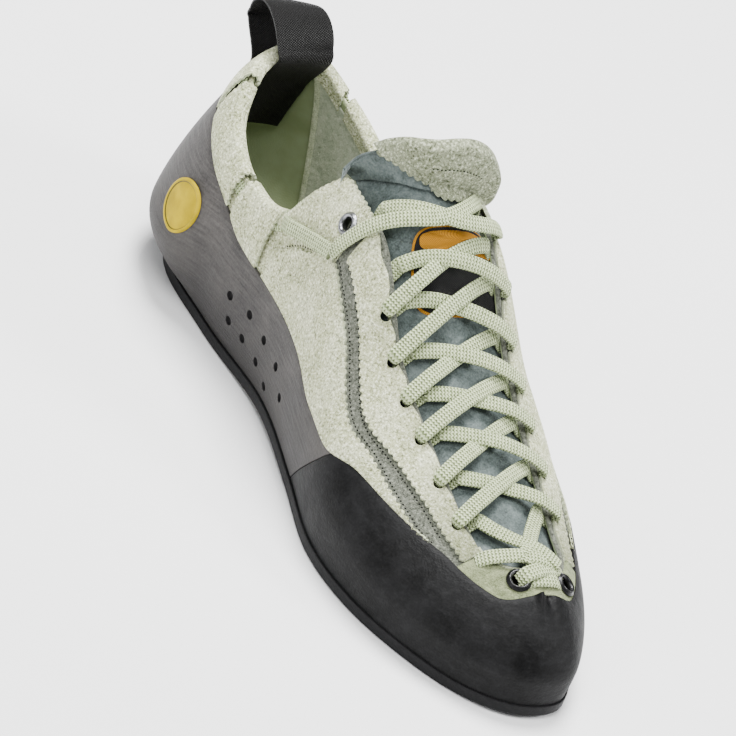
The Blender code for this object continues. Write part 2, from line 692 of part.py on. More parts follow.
def make_eyelet(name, at, side, inset, base, material):
    """Ring standing on the leather round a lace hole."""
    place, arc = hole_place(at, side, inset)
    build = bmesh.new()
    segments = 12
    profile = [(EYELET_INNER / 2, 0), (EYELET_OUTER / 2, 0), (EYELET_OUTER / 2 - 0.0006, EYELET_HEIGHT * 0.75),
               ((EYELET_OUTER + EYELET_INNER) / 4, EYELET_HEIGHT), (EYELET_INNER / 2, EYELET_HEIGHT * 0.5)]
    rings = []
    for k in range(segments):
        turn = 2 * math.pi * k / segments
        rings.append([build.verts.new((r * math.cos(turn), r * math.sin(turn), z)) for r, z in profile])
    for k in range(segments):
        a, b = rings[k], rings[(k + 1) % segments]
        for i in range(len(profile)):
            j = (i + 1) % len(profile)
            build.faces.new((a[i], b[i], b[j], a[j]))
    way = facing(place.u, arc)
    turn = Vector(way).to_track_quat("Z", "Y").to_matrix().to_4x4()
    seat = place.point(arc) + way * (base + CLEARANCE)
    build.transform(Matrix.Translation(Vector(seat)) @ turn)
    return add_object(name, build, material)


def make_patch(name, centre, half_u, half_arc, base, thickness, sides, material):
    """Thin patch lying on the skin round a station and an arc: an ellipse or a rounded square."""
    u0, arc0 = centre
    build = bmesh.new()
    pitch = np.linalg.norm(edge_point(u0 + 1) - edge_point(u0))
    levels = []
    for out in (base + CLEARANCE, base + CLEARANCE + thickness):
        rings = [[build.verts.new(station(round(u0, 4)).point(arc0, out))]]
        for share in (0.5, 1.0):
            ring = []
            for k in range(sides):
                turn = 2 * math.pi * k / sides
                u = u0 + share * half_u * math.cos(turn) / pitch
                ring.append(build.verts.new(station(round(float(u % STATIONS), 4)).point(
                    arc0 + share * half_arc * math.sin(turn), out)))
            rings.append(ring)
        levels.append(rings)
    for rings in levels:
        for k in range(sides):
            j = (k + 1) % sides
            build.faces.new((rings[0][0], rings[1][k], rings[1][j]))
            build.faces.new((rings[1][k], rings[2][k], rings[2][j], rings[1][j]))
    for k in range(sides):
        j = (k + 1) % sides
        build.faces.new((levels[0][2][k], levels[0][2][j], levels[1][2][j], levels[1][2][k]))
    return add_object(name, build, material)


def make_cuffs(material):
    """Rolled sleeve round the collar, in segments with openings where the lace shows."""
    half_gap = CUFF_GAP / 2 / LENGTH
    front, middle, rear = CUFF_CUTS
    spans = {
        "cuff_lateral_front": (station_at(middle - half_gap, OUTER), station_at(front + half_gap, OUTER)),
        "cuff_lateral_rear": (station_at(rear - half_gap, OUTER), station_at(middle + half_gap, OUTER)),
        "cuff_heel": (station_at(rear + half_gap, INNER), station_at(rear + half_gap, OUTER)),
        "cuff_medial_rear": (station_at(middle + half_gap, INNER), station_at(rear - half_gap, INNER)),
        "cuff_medial_front": (station_at(front + half_gap, INNER), station_at(middle - half_gap, INNER))}
    for name, (start, end) in spans.items():
        band(name, run_between(start, end), cuff_rows, STAY_IN, STAY_OUT, material, crown=CUFF_CROWN)


def make_vents(piece):
    for number, vent in enumerate(VENTS, 1):
        place = station(round(station_at(vent.at, OUTER), 4))
        arc = place.at_height(vent.up * HEEL_HEIGHT)
        cutter = drill(f"vent_cutter_{number}", place.point(arc), facing(place.u, arc), VENT_DIAMETER, 0.004, 8)
        combine(piece, cutter, "DIFFERENCE")


def make_pull_loop(material):
    """Webbing loop over the collar at the heel, sewn to the outside and to the inside."""
    place = station(0.0)
    outer = STAY_OUT + CUFF_CROWN + CLEARANCE + LOOP_THICKNESS / 2
    inner = UPPER_IN - CLEARANCE - LOOP_THICKNESS / 2 - LOOP_STAND
    rim = place.point(place.top)
    middle = rim[1:] + np.array([UPPER_IN / 2 + LOOP_LEAN, LOOP_RISE - LOOP_ARCH])
    arcs = [place.top - LOOP_LAP * k for k in (1.0, 0.75, 0.5)]
    points = [place.point(arc, outer)[1:] for arc in arcs]
    for k in range(9):
        turn = math.pi * k / 8
        points.append(middle + np.array([LOOP_SPREAD * math.cos(turn), LOOP_ARCH * math.sin(turn)]))
    points += [place.point(arc, inner)[1:] for arc in reversed(arcs)]
    points = np.array([(rim[0], *p) for p in points])
    normals = [np.cross(t, (1, 0, 0)) for t in np.gradient(points, axis=0)]
    bows = np.linspace(-LOOP_BOW, LOOP_BOW, len(points))
    return sweep("pull_loop", points, normals, LOOP_WIDTH, LOOP_THICKNESS, material, bows)


for thing in list(bpy.data.objects):
    bpy.data.objects.remove(thing)

CUTTER = make_material("cutter", (0.8, 0.2, 0.2), 0.5)
SUEDE = make_material("sage_suede", (0.46, 0.50, 0.34), 0.9)
TONGUE_CLOTH = make_material("tongue_fabric", (0.20, 0.25, 0.24), 0.8)
LACE_CORD = make_material("lace_polyester", (0.46, 0.52, 0.33), 0.7)
SOLE_RUBBER = make_material("sole_rubber", (0.07, 0.07, 0.072), 0.6)
RAND_RUBBER = make_material("rand_rubber", (0.15, 0.14, 0.15), 0.45)
TOE_RUBBER = make_material("toe_rand_rubber", (0.04, 0.04, 0.042), 0.5)
INSOLE_BOARD = make_material("insole_board", (0.12, 0.14, 0.09), 0.9)
WEBBING = make_material("loop_webbing", (0.013, 0.012, 0.012), 0.7)
EYELET_METAL = make_material("eyelet_enamel", (0.02, 0.02, 0.02), 0.35, 0.6)
LABEL_CLOTH = make_material("label_fabric", (0.015, 0.015, 0.015), 0.7)
BADGE_RUBBER = make_material("badge_rubber", (0.69, 0.60, 0.02), 0.5)

make_outsole(SOLE_RUBBER)
make_insole(INSOLE_BOARD)
upper = band("upper", range(STATIONS), upper_rows, UPPER_IN, UPPER_OUT, SUEDE, closed=True)
tongue_places = tongue_grid()
make_tongue(tongue_places, TONGUE_CLOTH)
make_label(tongue_places, LABEL_CLOTH)
half_seam = SEAM_GAP / 2 / LENGTH
toe_run = run_between(station_at(SEAM_AT - half_seam, OUTER), station_at(SEAM_AT - half_seam, INNER))
band("toe_rand", toe_run, rand_rows, RAND_IN, 0.0, TOE_RUBBER)
heel_run = run_between(station_at(SEAM_AT + half_seam, INNER), station_at(SEAM_AT + half_seam, OUTER))
heel_rand = band("heel_rand", heel_run, rand_rows, RAND_IN, 0.0, RAND_RUBBER)
make_vents(heel_rand)
outer_stay = run_between(station_at(STAY_TO, OUTER), station_at(STAY_FROM, OUTER))
stay_lateral = band("eyestay_lateral", outer_stay, stay_rows, STAY_IN, STAY_OUT, SUEDE)
inner_stay = run_between(station_at(STAY_FROM, INNER), station_at(STAY_TO, INNER))
stay_medial = band("eyestay_medial", inner_stay, stay_rows, STAY_IN, STAY_OUT, SUEDE)
make_cuffs(SUEDE)
for side, stay in ((OUTER, stay_lateral), (INNER, stay_medial)):
    shift = INNER_SHIFT if side == INNER else 0.0
    punch([upper, stay], EYELET_INNER, TOP_EYELET_AT, side, TOP_EYELET_INSET)
    punch([upper], EYELET_INNER, TOE_EYELET_AT[0 if side == OUTER else 1], side, TOE_EYELET_INSET)
    for at in HOLES_AT if side == OUTER else (TOP_ROW[0], *HOLES_AT):
        punch([upper, stay], HOLE_DIAMETER, at + shift, side, HOLE_INSET, 6)
make_laces(LACE_CORD)
make_side_lace("lace_side_lateral", OUTER, LACE_CORD)
make_side_lace("lace_side_medial", INNER, LACE_CORD)
make_pull_loop(WEBBING)
for side, word in ((OUTER, "lateral"), (INNER, "medial")):
    toe_at = TOE_EYELET_AT[0 if side == OUTER else 1]
    make_eyelet(f"eyelet_top_{word}", TOP_EYELET_AT, side, TOP_EYELET_INSET, STAY_OUT, EYELET_METAL)
    make_eyelet(f"eyelet_toe_{word}", toe_at, side, TOE_EYELET_INSET, UPPER_OUT, EYELET_METAL)
badge_place = station(round(station_at(BADGE_AT, OUTER), 4))
make_patch("heel_badge", (station_at(BADGE_AT, OUTER), badge_place.at_height(BADGE_UP * HEEL_HEIGHT)),
           BADGE_WIDTH / 2, BADGE_HEIGHT / 2, 0.0, BADGE_THICKNESS, 14, BADGE_RUBBER)
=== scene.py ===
"""Looks of the climbing shoe: suede, rubber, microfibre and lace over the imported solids.

Metres, +Z up. The toe points to -Y, the heel to +Y, and the outer side of the foot is at -X.
"""
import math
from collections import namedtuple
from functools import lru_cache

import bmesh
import bpy
import numpy as np
from mathutils import Matrix, Vector


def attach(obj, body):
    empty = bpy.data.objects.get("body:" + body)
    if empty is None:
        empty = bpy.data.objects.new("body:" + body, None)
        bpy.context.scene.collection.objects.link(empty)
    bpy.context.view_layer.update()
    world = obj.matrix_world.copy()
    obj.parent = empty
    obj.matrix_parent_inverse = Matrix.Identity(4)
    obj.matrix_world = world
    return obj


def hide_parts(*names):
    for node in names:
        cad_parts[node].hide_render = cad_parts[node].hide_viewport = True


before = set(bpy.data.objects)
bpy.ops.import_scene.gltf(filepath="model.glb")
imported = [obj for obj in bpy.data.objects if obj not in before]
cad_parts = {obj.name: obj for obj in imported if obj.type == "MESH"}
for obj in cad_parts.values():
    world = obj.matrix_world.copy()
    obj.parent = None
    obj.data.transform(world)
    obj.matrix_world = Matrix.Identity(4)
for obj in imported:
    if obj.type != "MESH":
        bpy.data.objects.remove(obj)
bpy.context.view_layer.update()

# sizes of the last, as in the part's own source
LENGTH = 0.250
BALL_WIDTH = 0.086
HEEL_WIDTH = 0.058
INSTEP_HEIGHT = 0.090
HEEL_HEIGHT = 0.084
BALL_AT = 0.30
TOE_ROOT = 0.17
HEEL_ROOT = 0.87
HEEL_FROM, HEEL_TO = 0.50, 0.80
CLEARANCE = 0.0003
SOLE_THICKNESS = 0.0042
SOLE_LEDGE = 0.0008
WALL = 0.0020
RAND_THICKNESS = 0.0012
EYESTAY_THICKNESS = 0.0012
EDGE_ROUND = 0.00025                    # bite taken off every cut edge
TONGUE_LAP = 0.007
FLAP_HEIGHT = 0.0185
TONGUE_LENGTH = 0.115
FLAP_SPREAD = 0.0050
LACE_WIDTH = 0.0054
LACE_THICKNESS = 0.0017
HOLE_DIAMETER = 0.0036
HOLE_INSET = 0.0040
LACE_FOLD = 0.0016
EYELET_OUTER = 0.0086
EYELET_INNER = 0.0046
LACE_REST = LACE_THICKNESS / 2 + 0.0008
LOOP_WIDTH = 0.0205
LOOP_TWIST = math.radians(-14)
LOOP_SWAY = 0.0018
LOOP_THICKNESS = 0.0014
LOOP_RISE = 0.0118
LOOP_ARCH = 0.013
LOOP_SPREAD = 0.0125
LOOP_LAP = 0.024
LOOP_LEAN = 0.006
LOOP_STAND = 0.0020
LOOP_BOW = 0.0018
BADGE_WIDTH = 0.016
BADGE_HEIGHT = 0.020
VENT_DIAMETER = 0.0032
STATIONS = 80

Outline = namedtuple("Outline", "at across")
OUTLINE = (
    Outline(1.000, -0.045), Outline(0.970, -0.34), Outline(0.90, -0.495), Outline(0.78, -0.500),
    Outline(0.62, -0.365), Outline(0.46, -0.395), Outline(0.33, -0.475), Outline(0.22, -0.445),
    Outline(0.12, -0.33), Outline(0.045, -0.185), Outline(0.006, -0.03), Outline(0.004, 0.14),
    Outline(0.035, 0.25), Outline(0.11, 0.37), Outline(0.22, 0.475), Outline(0.32, 0.51),
    Outline(0.46, 0.435), Outline(0.62, 0.39), Outline(0.78, 0.455), Outline(0.90, 0.415),
    Outline(0.972, 0.25))

Section = namedtuple("Section", "at ridge_x ridge wide bulge_out bulge_in full")
SECTIONS = (
    Section(0.00, 0.14, 0.38, 0.09, 0.000, 0.005, 1.75),
    Section(0.17, 0.10, 0.43, 0.11, 0.008, 0.020, 1.80),
    Section(0.30, 0.07, 0.565, 0.14, 0.012, 0.040, 1.80),
    Section(0.42, 0.04, 0.75, 0.185, 0.035, 0.075, 2.05),
    Section(0.55, 0.005, 1.11, 0.22, 0.046, 0.080, 2.30),
    Section(0.66, 0.00, 1.23, 0.26, 0.045, 0.065, 2.25),
    Section(0.78, 0.00, 1.33, 0.27, 0.085, 0.065, 1.80),
    Section(0.87, 0.00, 1.38, 0.20, 0.190, 0.130, 1.55),
    Section(0.94, 0.00, 1.38, 0.19, 0.200, 0.150, 1.47),
    Section(1.00, 0.00, 1.38, 0.19, 0.185, 0.185, 1.47))

Lift = namedtuple("Lift", "at up")
SOLE = (
    Lift(0.00, 0.012), Lift(0.08, 0.0), Lift(0.40, 0.0), Lift(0.58, 0.022), Lift(0.75, 0.0),
    Lift(0.93, 0.0), Lift(1.00, 0.02))

Edge = namedtuple("Edge", "at outer inner")
COLLAR = (
    Edge(0.50, 1.60, 1.60), Edge(0.56, 1.08, 1.08), Edge(0.60, 1.05, 1.05), Edge(0.655, 1.03, 1.03),
    Edge(0.685, 0.92, 0.92), Edge(0.71, 0.755, 0.765), Edge(0.76, 0.705, 0.730), Edge(0.80, 0.715, 0.725),
    Edge(0.86, 0.800, 0.760), Edge(0.93, 0.930, 0.850), Edge(1.00, 1.00, 1.00))
RAND = (
    Edge(0.00, 0.380, 0.380), Edge(0.06, 0.345, 0.335), Edge(0.20, 0.360, 0.310), Edge(0.33, 0.385, 0.300),
    Edge(0.40, 0.345, 0.300), Edge(0.47, 0.360, 0.310), Edge(0.55, 0.420, 0.360), Edge(0.68, 0.455, 0.440),
    Edge(0.76, 0.495, 0.500), Edge(0.84, 0.615, 0.600), Edge(0.92, 0.720, 0.690), Edge(1.00, 0.800, 0.800))

Throat = namedtuple("Throat", "at half")
THROAT = (
    Throat(0.00, 0.125), Throat(0.17, 0.185), Throat(0.30, 0.210), Throat(0.45, 0.238),
    Throat(0.66, 0.235), Throat(1.00, 0.235))

SEAM_FOOT, SEAM_LEAN = 0.456, 0.080     # the seam between the rands, at the sole, and its lean
FOLD_AT = -0.1                          # fold at the toe's tip, in stations past it
FOLD_RIDGE, FOLD_HOLLOW = 0.0022, 0.0012
CUFF_CUTS = (0.70, 0.80, 0.93)
HOLES_AT = (0.472, 0.425, 0.376, 0.327, 0.268, 0.210)
INNER_SHIFT = 0.015
TOP_EYELET_AT = 0.600
TOE_EYELET_AT = (0.031, 0.060)
TOE_EYELET_INSET = 0.0232 * LENGTH
TOP_EYELET_INSET = 0.009
TOP_ROW = (0.528, 0.505)
TAB_START_AT = 0.586
TAB_END_AT = 0.578
TAB_DIPS = (0.0115, 0.0068)
TAB_LACE_INSET = (0.0045, 0.0190)
SIDE_LACE = (0.706, 0.588)
TOE_BAR_AT, TOE_BAR_INSET = 0.140, 0.0050
FAR_BAR_AT, FAR_BAR_INSET = 0.085, 0.0010
BADGE_AT, BADGE_UP = 0.868, 0.415

Vent = namedtuple("Vent", "at up")
VENTS = (
    Vent(0.733, 0.29), Vent(0.685, 0.31), Vent(0.722, 0.19), Vent(0.685, 0.19), Vent(0.637, 0.30),
    Vent(0.641, 0.18), Vent(0.585, 0.295), Vent(0.605, 0.145), Vent(0.546, 0.235))

TongueRow = namedtuple("TongueRow", "along at back_out back_in lap")
TONGUE = (
    TongueRow(0.0, 0.135, 0.000, 0.000, 1.0), TongueRow(0.5, 0.36, 0.000, 0.000, 1.0),
    TongueRow(0.8, 0.49, 0.013, 0.004, 0.7), TongueRow(1.0, 0.578, 0.092, 0.012, -0.25))

OUTER, INNER = -1, 1

# sewn edges, which only the looks need
Seam = namedtuple("Seam", "at quarter stay")
# Upper edge of the quarter and lower edge of the eyestay, as shares of the way from rand to throat
SEAMS = (
    Seam(0.12, 0.02, 0.10), Seam(0.184, 0.02, 0.31), Seam(0.216, 0.04, 0.40), Seam(0.25, 0.13, 0.455),
    Seam(0.30, 0.21, 0.45), Seam(0.35, 0.29, 0.43), Seam(0.385, 0.33, 0.475), Seam(0.42, 0.40, 0.56),
    Seam(0.445, 0.465, 0.62), Seam(0.467, 0.525, 0.665), Seam(0.489, 0.555, 0.69), Seam(0.54, 0.565, 0.695),
    Seam(0.575, 0.605, 0.70), Seam(0.60, 0.59, 0.72), Seam(0.646, 0.435, 0.75), Seam(0.70, 0.37, 0.80),
    Seam(0.76, 0.37, 0.80))
Tab = namedtuple("Tab", "at low")
# Lower edge of the eyelet tab, as a share of the way from rand to collar
TAB = (
    Tab(0.553, 0.93), Tab(0.562, 0.90), Tab(0.575, 0.80), Tab(0.590, 0.70), Tab(0.624, 0.57), Tab(0.650, 0.50),
    Tab(0.675, 0.52), Tab(0.700, 0.66), Tab(0.716, 0.84))
TOOTH, TOOTH_DEPTH = 0.0027, 0.0013     # pinked edges
CUFF_TOOTH, CUFF_TOOTH_DEPTH = 0.0024, 0.0009
FLAP_TOOTH, FLAP_TOOTH_DEPTH = 0.0029, 0.0013
NEEDLE_PITCH = 0.00145
NAP_DEPTH = 0.0004                      # how deep the suede's nap looks
GRIT_DEPTH = 0.00012                    # how deep the rubber's sanding looks
TRIM = 0.0002                           # a sheet's lap over the rand's edge
STAY_END = 0.562                        # upper end of the eyestay, below the tab
TAB_SPAN = (0.553, 0.716)
TOE_SEAM = 0.150                        # eyestay meets the plain toe vamp


# the last
def smooth(at, xs, ys):
    """Monotone cubic through the points (xs, ys)."""
    xs, ys = np.asarray(xs, float), np.asarray(ys, float)
    at = np.clip(at, xs[0], xs[-1])
    step = np.diff(xs)
    slope = np.diff(ys) / step
    before, after = slope[:-1], slope[1:]
    tangent = np.zeros_like(ys)
    same_way = before * after > 0
    total = np.where(same_way, before + after, 1.0)
    tangent[1:-1] = np.where(same_way, 2 * before * after / total, 0.0)
    tangent[0], tangent[-1] = slope[0], slope[-1]
    i = np.clip(np.searchsorted(xs, at, side="right") - 1, 0, len(step) - 1)
    t = (at - xs[i]) / step[i]
    return ((1 + 2 * t) * (1 - t) ** 2 * ys[i] + t * (1 - t) ** 2 * step[i] * tangent[i]
            + t * t * (3 - 2 * t) * ys[i + 1] + t * t * (t - 1) * step[i] * tangent[i + 1])


def column(rows, name, at):
    """One column of a table, smoothly between its rows."""
    return smooth(at, [row[0] for row in rows], [getattr(row, name) for row in rows])


def heel_part(at):
    """0 at the forefoot and 1 at the heel, for the sizes that differ between them."""
    t = np.clip((at - HEEL_FROM) / (HEEL_TO - HEEL_FROM), 0, 1)
    return t * t * (3 - 2 * t)


def width_at(at):
    """Width that a share of the length takes its shares from."""
    return BALL_WIDTH + (HEEL_WIDTH - BALL_WIDTH) * heel_part(at)


def height_at(at):
    """Height that a share of the length takes its shares from."""
    return INSTEP_HEIGHT + (HEEL_HEIGHT - INSTEP_HEIGHT) * heel_part(at)


def y_of(at):
    """Place along the shoe of a share of its length, from the toe."""
    return (at - BALL_AT) * LENGTH


def share_of(y):
    return y / LENGTH + BALL_AT


def sole_under(at):
    """How far the sole's underside is off the ground."""
    return column(SOLE, "up", at) * INSTEP_HEIGHT


def catmull(a, b, c, d, t):
    """Smooth curve from b to c, with a before them and d after."""
    return 0.5 * (2 * b + (c - a) * t + (2 * a - 5 * b + 4 * c - d) * t ** 2 + (3 * b - a - 3 * c + d) * t ** 3)


def trace_outline():
    """Closed smooth outline of the sole, its running station, and metres per station."""
    rows = np.array([(row.across * width_at(row.at), y_of(row.at)) for row in OUTLINE])
    t = np.linspace(0, 1, 48, endpoint=False)[:, None]
    line = []
    for i in range(len(rows)):
        a, b, c, d = (rows[(i + k) % len(rows)] for k in (-1, 0, 1, 2))
        line.append(catmull(a, b, c, d, t))
    line = np.vstack(line + [rows[:1]])
    run = np.concatenate([[0], np.cumsum(np.linalg.norm(np.diff(line, axis=0), axis=1))])
    return line, run / run[-1] * STATIONS, run[-1] / STATIONS


EDGE_LINE, EDGE_RUN, PITCH = trace_outline()
TOE_STATION = float(EDGE_RUN[np.argmin(EDGE_LINE[:, 1])])


def edge_point(u):
    """Plan point of the outline at a station."""
    u = u % STATIONS
    return np.array([np.interp(u, EDGE_RUN, EDGE_LINE[:, 0]), np.interp(u, EDGE_RUN, EDGE_LINE[:, 1])])


def root_of(at):
    """Plan point under the ridge that the sections fan out from, and its share."""
    root = float(np.clip(at, TOE_ROOT, HEEL_ROOT))
    return np.array([column(SECTIONS, "ridge_x", root) * width_at(root), y_of(root)]), root


class Station:
    """Half section of the last, from the sole's edge over the side and up to the ridge."""

    LOW, HIGH = 24, 120

    def __init__(self, u):
        self.u = u
        edge = edge_point(u)
        self.share = float(share_of(edge[1]))
        self.root, root = root_of(self.share)
        reach = np.linalg.norm(edge - self.root)
        self.way = (edge - self.root) / reach
        self.reach = reach
        self.side = OUTER if edge[0] < self.root[0] else INNER
        self.foot = sole_under(self.share) + SOLE_THICKNESS + CLEARANCE
        height = height_at(self.share)
        ridge = column(SECTIONS, "ridge", root) * height_at(root)
        wide = column(SECTIONS, "wide", self.share) * height + self.foot
        inward = 0.5 + 0.5 * math.tanh(self.way[0] * 3)
        bulge = (column(SECTIONS, "bulge_out", self.share) * (1 - inward)
                 + column(SECTIONS, "bulge_in", self.share) * inward) * width_at(self.share)
        power = 2 / column(SECTIONS, "full", self.share)
        near = reach - SOLE_LEDGE
        low = np.linspace(0, 1, self.LOW, endpoint=False)
        high = np.linspace(0, math.pi / 2, self.HIGH)
        self.r = np.concatenate([near + bulge * (1 - (1 - low) ** 2), (near + bulge) * np.cos(high) ** power])
        self.z = np.concatenate([self.foot + (wide - self.foot) * low,
                                 wide + (ridge - wide) * np.sin(high) ** power])
        self.r[-1] = 0
        self.arc = np.concatenate([[0], np.cumsum(np.hypot(np.diff(self.r), np.diff(self.z)))])
        self.height = height

    def at_height(self, z):
        """Arc at a height."""
        return float(np.interp(z, self.z, self.arc))

    def at_reach(self, r):
        """Arc on the section's upper part, this far from its root in plan."""
        return float(np.interp(-r, -self.r[self.LOW:], self.arc[self.LOW:]))

    def points(self, arcs, outs=0.0):
        """Points of the section this far up it, moved out from the surface."""
        arcs = np.asarray(arcs, float)
        outs = np.broadcast_to(np.asarray(outs, float), arcs.shape)
        step = 0.0008
        a, b = np.clip(arcs - step, 0, self.arc[-1]), np.clip(arcs + step, 0, self.arc[-1])
        dr = np.interp(b, self.arc, self.r) - np.interp(a, self.arc, self.r)
        dz = np.interp(b, self.arc, self.z) - np.interp(a, self.arc, self.z)
        size = np.hypot(dr, dz)
        r = np.interp(arcs, self.arc, self.r) + outs * dz / size
        z = np.interp(arcs, self.arc, self.z) - outs * dr / size
        below = np.minimum(arcs, 0.0)
        return np.stack([self.root[0] + self.way[0] * r, self.root[1] + self.way[1] * r, z + below], -1)

    def point(self, arc, out=0.0):
        """One point of the section."""
        return self.points(np.array([arc]), out)[0]

    def line(self, rows):
        """Arc at a line's height, between its outer and inner side."""
        inward = 0.5 + 0.5 * math.tanh(self.way[0] * 6)
        share = column(rows, "outer", self.share) * (1 - inward) + column(rows, "inner", self.share) * inward
        return self.at_height(share * self.height)

    @property
    def top(self):
        """Arc of the top edge: the throat's at the front, the collar's behind it."""
        throat = self.at_reach(column(THROAT, "half", self.share) * BALL_WIDTH)
        return throat if self.share < COLLAR[0].at else min(self.line(COLLAR), throat)

    @property
    def rand(self):
        """Arc of the rand's upper edge."""
        return self.line(RAND)

    def between(self, rows, name):
        """Arc of a sewn edge, given as a share of the way from the rand to the top edge."""
        return self.rand + (self.top - self.rand) * column(rows, name, self.share)


@lru_cache(maxsize=None)
def station(u):
    return Station(u)


def near(u):
    return station(round(float(u) % STATIONS, 3))


def station_at(at, side):
    """Station of a share of the length on one side."""
    us = np.linspace(0, TOE_STATION, 800) if side == OUTER else np.linspace(TOE_STATION, STATIONS, 800)
    ys = [edge_point(u)[1] for u in us]
    order = np.argsort(ys)
    return float(np.interp(y_of(at), np.array(ys)[order], us[order]))


def over(x, y):
    """Height of the last's skin above a plan point."""
    root, _ = root_of(share_of(y))
    away = np.array([x, y]) - root
    reach = np.linalg.norm(away)
    if reach < 1e-4:
        away, reach = np.array([1e-5, 0.0]), 1e-5
    rel = EDGE_LINE - root
    turn = away[0] * rel[:, 1] - away[1] * rel[:, 0]
    ahead = rel @ away > 0
    hit = np.where((turn[:-1] * turn[1:] <= 0) & ahead[:-1])[0][0]
    part = turn[hit] / (turn[hit] - turn[hit + 1] + 1e-15)
    place = station(round(float(EDGE_RUN[hit] + part * (EDGE_RUN[hit + 1] - EDGE_RUN[hit])), 2))
    return float(np.interp(-reach, -place.r[place.LOW:], place.z[place.LOW:]))


def skin(x, y):
    """Point of the last's skin above a plan point, and the normal there."""
    step = 0.0025
    slope_x = (over(x + step, y) - over(x - step, y)) / (2 * step)
    slope_y = (over(x, y + step) - over(x, y - step)) / (2 * step)
    normal = np.array([-slope_x, -slope_y, 1.0])
    return np.array([x, y, over(x, y)]), normal / np.linalg.norm(normal)


RAND_IN = -RAND_THICKNESS
UPPER_OUT = RAND_IN - CLEARANCE
UPPER_IN = UPPER_OUT - WALL
STAY_IN = UPPER_OUT + CLEARANCE
STAY_OUT = STAY_IN + EYESTAY_THICKNESS
TONGUE_OUT = UPPER_IN - 0.0008


# materials
def linear(code):
    """Linear colour from an sRGB hex code."""
    parts = [int(code[k:k + 2], 16) / 255 for k in (0, 2, 4)]
    return (*[c / 12.92 if c <= 0.04045 else ((c + 0.055) / 1.055) ** 2.4 for c in parts], 1.0)


def add(tree, kind, inputs=None, stops=(), **settings):
    """One node with its settings, its colour stops, its values and its links."""
    made = tree.nodes.new("ShaderNode" + kind)
    for name, value in settings.items():
        setattr(made, name, value)
    for number, (place, code) in enumerate(stops):
        band = made.color_ramp.elements
        stop = band[number] if number < 2 else band.new(place)
        stop.position, stop.color = place, linear(code)
    for name, value in (inputs or {}).items():
        if isinstance(value, bpy.types.NodeSocket):
            tree.links.new(value, made.inputs[name])
        else:
            made.inputs[name].default_value = value
    return made


def per_mm(size):
    """Noise scale, on metres, of a pattern this many millimetres across."""
    return 1000.0 / size


def finish(name, **values):
    """Material with its shader's own values set; the nodes are added to its tree."""
    material = bpy.data.materials.new(name)
    material.use_nodes = True
    shader = material.node_tree.nodes["Principled BSDF"]
    for key, value in values.items():
        shader.inputs[key.replace("_", " ")].default_value = value
    return material, material.node_tree, shader


def split_suede(name, light, middle, dark, grain=0.62, speckle=0.62, toe_darkening=0.0):
    """Split leather, buffed to a short nap: matt, rough to the light, and peppered with lighter and
    darker fibres over broad brushed patches. The real nap is finer; it is drawn coarse enough to show. Toward
    the toe its colour goes darker."""
    material, tree, shader = finish(name, Roughness=0.95, Sheen_Weight=0.08, Sheen_Roughness=0.6,
                                    Specular_IOR_Level=0.15)
    where = add(tree, "TexCoord").outputs["Object"]
    pepper = add(tree, "TexNoise", {"Vector": where, "Scale": per_mm(grain), "Detail": 4.0, "Roughness": 0.7})
    tufts = add(tree, "TexNoise", {"Vector": where, "Scale": per_mm(2.2), "Detail": 3.0, "Roughness": 0.6})
    brushed = add(tree, "TexNoise", {"Vector": where, "Scale": per_mm(11), "Detail": 3.0, "Roughness": 0.55})
    speck = add(tree, "ValToRGB", {"Fac": pepper.outputs["Fac"]},
                stops=((0.38, dark), (0.46, middle), (0.54, middle), (0.61, light))).outputs["Color"]
    patch = add(tree, "ValToRGB", {"Fac": tufts.outputs["Fac"]},
                stops=((0.36, dark), (0.50, middle), (0.64, light))).outputs["Color"]
    cloud = add(tree, "ValToRGB", {"Fac": brushed.outputs["Fac"]},
                stops=((0.36, dark), (0.50, middle), (0.64, light))).outputs["Color"]
    broad = add(tree, "Mix", {0: 0.45, 6: patch, 7: cloud}, data_type="RGBA").outputs[2]
    nap = add(tree, "Mix", {0: speckle, 6: broad, 7: speck}, data_type="RGBA").outputs[2]
    along = add(tree, "SeparateXYZ", {"Vector": where}).outputs["Y"]
    toe_fade = add(tree, "MapRange", {"Value": along, "From Min": -0.034, "From Max": -0.002, "To Min": toe_darkening,
                                     "To Max": 0.0}).outputs[0]
    colour = add(tree, "Mix", {0: toe_fade, 6: nap, 7: linear(dark)}, data_type="RGBA").outputs[2]
    tree.links.new(colour, shader.inputs["Base Color"])
    soft = add(tree, "Bump", {"Height": tufts.outputs["Fac"], "Distance": NAP_DEPTH * 1.6}).outputs["Normal"]
    fibres = add(tree, "Bump", {"Height": pepper.outputs["Fac"], "Distance": NAP_DEPTH, "Normal": soft})
    tree.links.new(fibres.outputs["Normal"], shader.inputs["Normal"])
    return material


